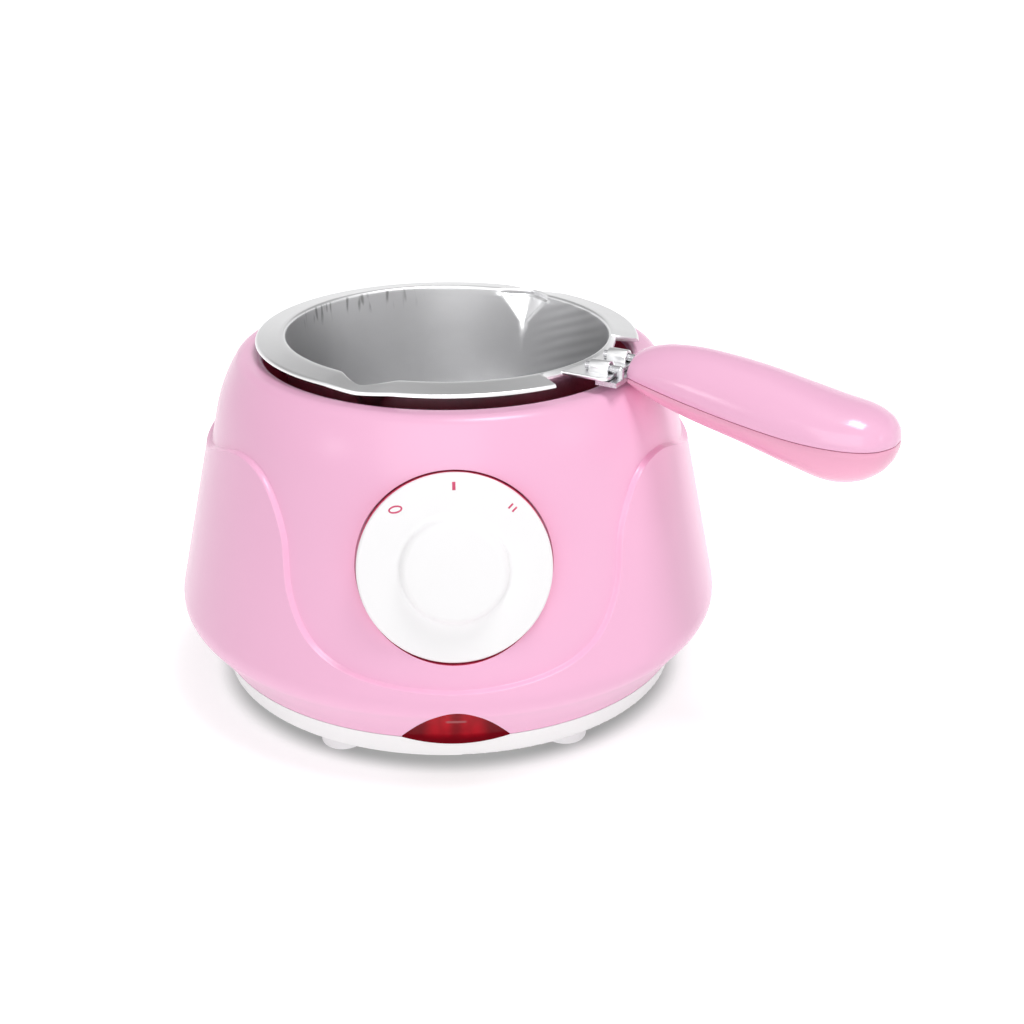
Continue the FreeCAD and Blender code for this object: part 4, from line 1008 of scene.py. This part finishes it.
def mark_ring(width, length, line):
    """Flat oval ring, drawn from a round one of radius 1."""
    bm = spun(arc((1.0, 0.0), line / 2, 0, 315, 7), 48)
    for vert in bm.verts:
        reach = math.hypot(vert.co.x, vert.co.y)
        offset = reach - 1.0 - line / 2
        across = vert.co.x / reach * (width / 2 + offset)
        along = vert.co.y / reach * (length / 2 + offset)
        vert.co = Vector((across, along, vert.co.z * 0.2))
    return bm


tilt = Matrix.Rotation(math.radians(MARK_OFF_TILT), 4, "Z")
off_ring = moved(mark_ring(*MARK_OFF), mark_place(-MARK_TURN) @ tilt)
make_piece("dial_mark_off", off_ring, "dial", mark_red)
make_piece("dial_mark_one", moved(mark_bar(*MARK_ONE), mark_place(0)), "dial", mark_red)
for side, name in ((-MARK_TWO_SHIFT, "left"), (MARK_TWO_SHIFT, "right")):
    bar = moved(mark_bar(*MARK_TWO), mark_place(MARK_TURN) @ Matrix.Translation((side, 0, 0)))
    make_piece("dial_mark_two_" + name, bar, "dial", mark_red)


# Pan
def pan_outline():
    """Closed outline of the pan's sheet, from the middle of its inside to the middle of its underside."""
    inner = PAN_CORNER_ROUND - PAN_SHEET
    floor = PAN_FLOOR_Z + PAN_SHEET
    low = PAN_CORNER.y
    mouth = Vector((PAN_MOUTH + PAN_EDGE, PAN_RIM_Z - PAN_EDGE))
    edge = Vector((FLANGE_RADIUS - PAN_SHEET, FLANGE_Z - PAN_SHEET))
    foot = Vector((PAN_CORNER.x + inner, low))
    crest = Vector((PAN_MOUTH, PAN_RIM_Z - PAN_EDGE))
    under = FLANGE_Z - PAN_SHEET
    line = [Vector((PAN_CORNER.x * n / 10, floor)) for n in range(10)]
    line += arc(PAN_CORNER, inner, -90, 0, 12)
    shares = [blend(0, PLAIN_WALL, n / 8) for n in range(1, 9)]
    shares += [blend(PLAIN_WALL, 1, n / 14) for n in range(1, 14)]
    line += [foot.lerp(crest, share) for share in shares]
    line += arc(mouth, PAN_EDGE, 180, 90, 6)
    inner_top = Vector((mouth.x, PAN_RIM_Z))
    line += [inner_top.lerp(Vector((edge.x, FLANGE_Z)), n / 6) for n in range(1, 6)]
    line += arc(edge, PAN_SHEET, 90, 0, 6)
    line += [Vector((FLANGE_RADIUS, FLANGE_Z - FLANGE_TURN_DOWN)),
             Vector((edge.x, FLANGE_Z - FLANGE_TURN_DOWN)),
             Vector((edge.x, under))]
    top = Vector((PAN_MOUTH + PAN_SHEET, under))
    bottom = Vector((PAN_CORNER.x + PAN_CORNER_ROUND, low))
    line += [Vector((blend(edge.x, top.x, n / 6), under)) for n in range(1, 6)]
    line += [top.lerp(bottom, POUR_WALL * n / 12) for n in range(12)]
    line += [top.lerp(bottom, blend(POUR_WALL, 1, n / 6)) for n in range(6)]
    line += arc(PAN_CORNER, PAN_CORNER_ROUND, 0, -90, 12)
    line += [Vector((PAN_CORNER.x * (9 - n) / 10, PAN_FLOOR_Z)) for n in range(10)]
    return line


PAN_LINE = pan_outline()


def wall_radius(z):
    low = PAN_CORNER.y
    foot = PAN_CORNER.x + PAN_CORNER_ROUND - PAN_SHEET
    return blend(foot, PAN_MOUTH, (z - low) / (PAN_RIM_Z - low))


def pour_shape(across):
    """Rounded V across a pouring lip: 1 in its middle, fading out past 1."""
    def ramp(x):
        return (x + math.sqrt(x * x + POUR_SOFT)) / 2
    return ramp(POUR_SPAN - math.hypot(across, POUR_TIP)) / ramp(POUR_SPAN - POUR_TIP)


def pour_push(z, aside):
    """Push out and dip of the sheet at a height and a distance from a pouring lip's middle."""
    share = min(max((z - PAN_RIM_Z + POUR_DEPTH) / POUR_DEPTH, 0.0), 1.0)
    if share < 0.01 or aside > 2.5 * POUR_HALF:
        return 0.0, 0.0
    shape = pour_shape(aside / (POUR_HALF * share))
    height = PAN_RIM_Z - POUR_DEPTH * (1 - share)
    fold = blend(wall_radius(PAN_RIM_Z - POUR_DEPTH), PAN_MOUTH + POUR_REACH, share)
    return (fold - wall_radius(height)) * shape, POUR_DIP * share * shape


def pan_turn(step):
    """Angle of a column from the handle, with two columns drawn in to each end of the notch."""
    pitch = 360 / PAN_COLUMNS
    degrees = (step * pitch + 180) % 360 - 180
    for end in NOTCH_ENDS:
        if abs(degrees - end) < pitch:
            degrees = end + math.copysign(NOTCH_EDGE, degrees - end)
    return degrees


def pan_point(ring, step):
    radius, z = PAN_LINE[ring]
    degrees = pan_turn(step)
    aside = PAN_MOUTH * math.radians(min(abs(degrees - spot) for spot in POUR_SPOTS))
    on_flange = radius > wall_radius(min(z, PAN_RIM_Z)) + 1e-6 and z > FLANGE_Z - FLANGE_TURN_DOWN - 0.1
    if on_flange:
        push, dip = pour_push(PAN_RIM_Z, aside)
        mouth = PAN_MOUTH + push
        radius = mouth + (radius - PAN_MOUTH) * (FLANGE_RADIUS - mouth) / (FLANGE_RADIUS - PAN_MOUTH)
        start = PAN_MOUTH + PAN_SHEET
        if NOTCH_ENDS[0] < degrees < NOTCH_ENDS[1] and radius > start:
            radius = start + (radius - start) * (NOTCH_RADIUS - start) / (FLANGE_RADIUS - start)
    else:
        outside = radius > wall_radius(z) + 0.5
        push, dip = pour_push(z + PAN_SHEET if outside else z, aside)
        radius += push
    turn = math.radians(degrees)
    return Vector((radius * math.cos(turn), radius * math.sin(turn), z - dip))


def pan_mesh():
    return moved(laid_tube(len(PAN_LINE), PAN_COLUMNS, pan_point, False), handle_matrix())


make_piece("pan_shell", pan_mesh(), "pan", pan_metal, "pot", PAN_CRISP)


def tab_mesh():
    """Tab plate from the pan's rim out to its square end."""
    bm = bmesh.new()
    bmesh.ops.create_grid(bm, x_segments=16, y_segments=40, size=1.0)
    inner = PAN_MOUTH + PAN_SHEET + TAB_GAP
    for vert in bm.verts:
        sideways = TAB_SHIFT + vert.co.y * TAB_HALF
        over = max(0.0, abs(vert.co.y) * TAB_HALF - TAB_HALF + TAB_CORNER)
        end = TAB_END - TAB_CORNER + math.sqrt(max(0.0, TAB_CORNER ** 2 - over ** 2))
        start = math.sqrt(inner ** 2 - sideways ** 2)
        vert.co = Vector((blend(start, end, (vert.co.x + 1) / 2), sideways, TAB_Z))
    drawn_out(bm, bm.faces[:], (0, 0, -PAN_SHEET))
    tidy_shell(bm)
    rounded(bm, sharp_edges(bm), TAB_EDGE)
    return moved(bm, handle_matrix())


def bridge_mesh(sideways):
    """Pressed arch over the tab, half a tube on two short legs."""
    bm = bmesh.new()
    low = BRIDGE_INSIDE
    high = BRIDGE_INSIDE + BRIDGE_SHEET
    corners = ((0, low), (BRIDGE_LENGTH, low), (BRIDGE_LENGTH, high), (0, high))
    ring = [bm.verts.new((BRIDGE_START + x, sideways + y, PRONG_Z)) for x, y in corners]
    face = bm.faces.new(ring)
    middle = (0, sideways, PRONG_Z)
    turned = bmesh.ops.spin(bm, geom=[face], cent=middle, axis=(1, 0, 0), angle=math.pi, steps=14)
    ends = [part for part in turned["geom_last"] if isinstance(part, bmesh.types.BMFace)]
    first = min((f for f in bm.faces if f.normal.length and len(f.verts) == 4),
                key=lambda f: abs(f.calc_center_median().z - PRONG_Z) - f.calc_center_median().y * 1e-6)
    for end in ends + [first]:
        drawn_out(bm, [end], (0, 0, TAB_Z - BRIDGE_SINK - PRONG_Z))
    tidy_shell(bm)
    rounded(bm, sharp_edges(bm), BRIDGE_EDGE)
    return moved(bm, handle_matrix())


make_piece("pan_tab", tab_mesh(), "pan", pan_metal)
for sideways, name in zip(BRIDGE_SPOTS, ("near", "far")):
    make_piece("pan_bridge_" + name, bridge_mesh(sideways), "pan", pan_metal)


# Handle
HANDLE_LENGTH = HANDLE_SECTIONS[-1][0]
HANDLE_TIP = 3.4
ROOT_STEPS = ((0.0, 1.0), (0.12, 0.5), (0.35, 0.2), (HANDLE_ROUND, 0.0))
BODY_STEPS = [blend(HANDLE_ROUND, HANDLE_LENGTH - HANDLE_TIP, n / 40) for n in range(1, 41)]
TIP_STEPS = [HANDLE_LENGTH - HANDLE_TIP * (1 - n / 14) ** 2 for n in range(1, 15)]
HANDLE_RINGS = [(at, inset * HANDLE_ROUND) for at, inset in ROOT_STEPS]
HANDLE_RINGS += [(at, 0.0) for at in BODY_STEPS + TIP_STEPS]
OVER_STEPS = 44
FLAT_STEPS = 12


def shell_section(half, height, gap):
    """Outline across one shell: its curved side, two rounded seam edges and the flat seam face."""
    soft = min(HANDLE_SEAM_ROUND, height / 4, half / 4)
    points = []
    for n in range(OVER_STEPS + 1):
        turn = math.radians(blend(4.0, 176.0, n / OVER_STEPS))
        points.append((half * math.cos(turn), gap + soft + (height - gap - soft) * math.sin(turn)))
    for n in range(FLAT_STEPS):
        across = blend(-half + soft, half - soft, n / (FLAT_STEPS - 1))
        points.append((across, gap))
    return points


def shell_mesh(upper):
    sign = 1 if upper else -1
    rings = []
    for at, inset in HANDLE_RINGS:
        _, drop, half, crown, keel = along_table(HANDLE_SECTIONS, at)
        height = crown if upper else keel
        section = shell_section(half - inset, height - inset, HANDLE_SEAM_GAP / 2)
        along = HANDLE_START + at
        seam = HANDLE_SEAM_Z - drop
        rings.append([Vector((along, across, seam + sign * up)) for across, up in section])
    bm = laid_tube(len(rings), OVER_STEPS + 1 + FLAT_STEPS, lambda ring, step: rings[ring][step], False)
    return moved(bm, handle_matrix())


# The lower shell's deeper pink is painted shade.
for name, upper, finish in (("handle_upper", True, pink_handle), ("handle_lower", False, pink_keel_shaded)):
    make_piece(name, shell_mesh(upper), "handle", finish, name + "_shell", HANDLE_CRISP)


# Lamp lens
def lens_mesh():
    """Curved red window filling the lamp arch, with a flat back."""
    bm = bmesh.new()
    bmesh.ops.create_grid(bm, x_segments=64, y_segments=20, size=1.0)
    half = LAMP_HALF - LENS_CLEARANCE
    for vert in bm.verts:
        across = half * math.sin(vert.co.x * math.pi / 2)
        top = lamp_height(across, -LENS_CLEARANCE)
        bottom = LENS_BOTTOM - LENS_HANG * (1 - (across / half) ** 2)
        z = blend(bottom, max(top, bottom + LENS_LEAST), (vert.co.y + 1) / 2)
        point, normal = side_at(run_at_height(max(z, SEAM_Z)))
        lean = Vector((1, 0)).lerp(normal, LENS_LEAN).normalized()
        reach = max(point.x + (SKIRT_PROUD - LENS_RECESS) * lean.x, LENS_FOOT)
        vert.co = Vector((across, -math.sqrt(reach ** 2 - across ** 2), z))
    drawn_out(bm, bm.faces[:], (0, LENS_DEPTH, 0))
    tidy_shell(bm)
    return bm


make_piece("lamp_window", lens_mesh(), "base", lens_red, "lamp_lens")


# CAD pieces that stay as they are get their finish
FINISHES = {
    white_satin: ("base_pan", "lamp_holder", "cord_clamp", "terminal_block"),
    pale_rubber: ("feet", "cord_bush"),
    # The well liner is pink plastic, given the deeper pink as painted shade.
    pink_painted_shade: ("well_liner",),
    plate_metal: ("heating_plate",),
    steel: ("housing_screws", "liner_screws", "clamp_plate", "thermostat", "fuse_clip", "heat_shield",
            "shield_screws", "switch_screws", "terminal_screws", "cord_clamp_screws", "handle_bracket",
            "handle_screws", "dial_clip"),
    brass: ("clamp_nut", "switch_contacts"),
    mica: ("heating_element",),
    dark_plastic: ("switch_body", "switch_shaft"),
    lamp_glass: ("neon_lamp",),
    ceramic: ("thermal_fuse", "ballast_resistor"),
    insulation: ("internal_leads",),
}
for material, names in FINISHES.items():
    for name in names:
        frame["nodes"][name].data.materials.clear()
        frame["nodes"][name].data.materials.append(material)


# Studio: pale floor, white surroundings, soft lamps
FLOOR_SHADE = 0.45
# Painted shadow: the glow starts only just past the base, so the floor close to the piece stays dark as a
# contact shadow.
FLOOR_NEAR = (0.0675, 0.0775, 0.62)
FLOOR_FAR = (0.073, 0.125, 0.40)
FLOOR_LIGHT = 0.62
WORLD_LIGHT = (0.20, 0.32)
WORLD_BACK_LIGHT = 0.45
WORLD_BACK = (0.2, 0.9)
BAND_GREY = 0.62
BAND_BOTTOM = (0.28, 0.48)
BAND_TOP = (0.85, 0.97)
BAND_BEHIND = (-0.1, 0.4)
AIM = (0, 0, 0.06)


def seen_directly(tree):
    """1 for rays that see the scene straight, in a reflection or through glass, and 0 for its light."""
    path = add_node(tree, "ShaderNodeLightPath").outputs
    seen = reckon(tree, "MAXIMUM", path["Is Camera Ray"], path["Is Glossy Ray"])
    return reckon(tree, "MAXIMUM", seen, path["Is Transmission Ray"])


def floor_material():
    """Pale matt floor that brightens to plain white away from the piece, leaving a painted contact shadow
    round it over the real shadows of its matt part.
    """
    made = bpy.data.materials.new("studio_floor")
    made.use_nodes = True
    tree = made.node_tree
    tree.nodes.remove(tree.nodes["Principled BSDF"])
    spot = object_spot(tree)
    reach = reckon_vector(tree, "LENGTH", "Value", spot)
    white = reckon(tree, "ADD", eased(tree, reach, *FLOOR_NEAR), eased(tree, reach, *FLOOR_FAR))
    strength = spread(tree, seen_directly(tree), FLOOR_LIGHT, white)
    grey = (FLOOR_SHADE, FLOOR_SHADE, FLOOR_SHADE, 1.0)
    matt = add_node(tree, "ShaderNodeBsdfDiffuse", {"Color": grey}).outputs[0]
    glow = add_node(tree, "ShaderNodeEmission", {"Strength": strength}).outputs[0]
    both = add_node(tree, "ShaderNodeAddShader", {0: matt, 1: glow}).outputs[0]
    tree.links.new(both, tree.nodes["Material Output"].inputs["Surface"])
    return made


def studio_floor():
    bm = bmesh.new()
    bmesh.ops.create_grid(bm, x_segments=1, y_segments=1, size=6.0)
    mesh = bpy.data.meshes.new("studio_floor")
    bm.to_mesh(mesh)
    bm.free()
    mesh.materials.append(floor_material())
    made = bpy.data.objects.new("studio_floor", mesh)
    bpy.context.scene.collection.objects.link(made)


def surroundings():
    """White all round, with a grey band behind for reflections and a lower level for light."""
    world = bpy.data.worlds.new("studio")
    bpy.context.scene.world = world
    world.use_nodes = True
    tree = world.node_tree
    parts = split(tree, add_node(tree, "ShaderNodeTexCoord").outputs["Generated"])
    above = eased(tree, parts["Z"], *BAND_BOTTOM)
    high = reckon(tree, "SUBTRACT", above, eased(tree, parts["Z"], *BAND_TOP))
    band = times(tree, high, eased(tree, parts["Y"], *BAND_BEHIND))
    seen = reckon(tree, "SUBTRACT", 1.0, times(tree, band, BAND_GREY))
    straight = add_node(tree, "ShaderNodeLightPath").outputs["Is Camera Ray"]
    seen = reckon(tree, "MAXIMUM", seen, straight)
    level = spread(tree, parts["X"], *WORLD_LIGHT, -0.8, 0.8)
    level = reckon(tree, "ADD", level, eased(tree, parts["Y"], *WORLD_BACK, WORLD_BACK_LIGHT))
    strength = spread(tree, seen_directly(tree), level, seen)
    tree.links.new(strength, tree.nodes["Background"].inputs["Strength"])
    tree.nodes["Background"].inputs["Color"].default_value = (1.0, 1.0, 1.0, 1.0)


def softbox(name, place, size, power):
    lamp = bpy.data.lights.new(name, "AREA")
    lamp.size = size
    lamp.energy = power
    made = bpy.data.objects.new(name, lamp)
    made.location = place
    made.rotation_euler = (Vector(AIM) - Vector(place)).to_track_quat("-Z", "Y").to_euler()
    bpy.context.scene.collection.objects.link(made)


def camera():
    yaw, pitch, roll = (math.radians(a) for a in (CAMERA_YAW, CAMERA_PITCH, CAMERA_ROLL))
    ahead = Vector((math.sin(yaw) * math.cos(pitch), math.cos(yaw) * math.cos(pitch), -math.sin(pitch)))
    right = Vector((math.cos(yaw), -math.sin(yaw), 0))
    up = right.cross(ahead)
    level = right * math.cos(roll) + up * math.sin(roll)
    head = up * math.cos(roll) - right * math.sin(roll)
    place = Matrix((level, head, -ahead)).transposed().to_4x4()
    place.translation = CAMERA_EYE * MM
    data = bpy.data.cameras.new("camera")
    data.lens = CAMERA_LENS
    data.sensor_width = 36.0
    made = bpy.data.objects.new("camera", data)
    made.matrix_world = place
    bpy.context.scene.collection.objects.link(made)
    bpy.context.scene.camera = made


studio_floor()
surroundings()
softbox("key", (-0.22, -1.25, 0.72), 1.2, 7.2)
softbox("right", (1.1, -0.6, 0.6), 0.25, 0.4)
softbox("left", (-1.1, -0.7, 0.5), 0.2, 0.6)
softbox("top", (0.34, -0.22, 1.45), 0.45, 9.0)
camera()

bpy.context.scene.view_settings.view_transform = "Standard"
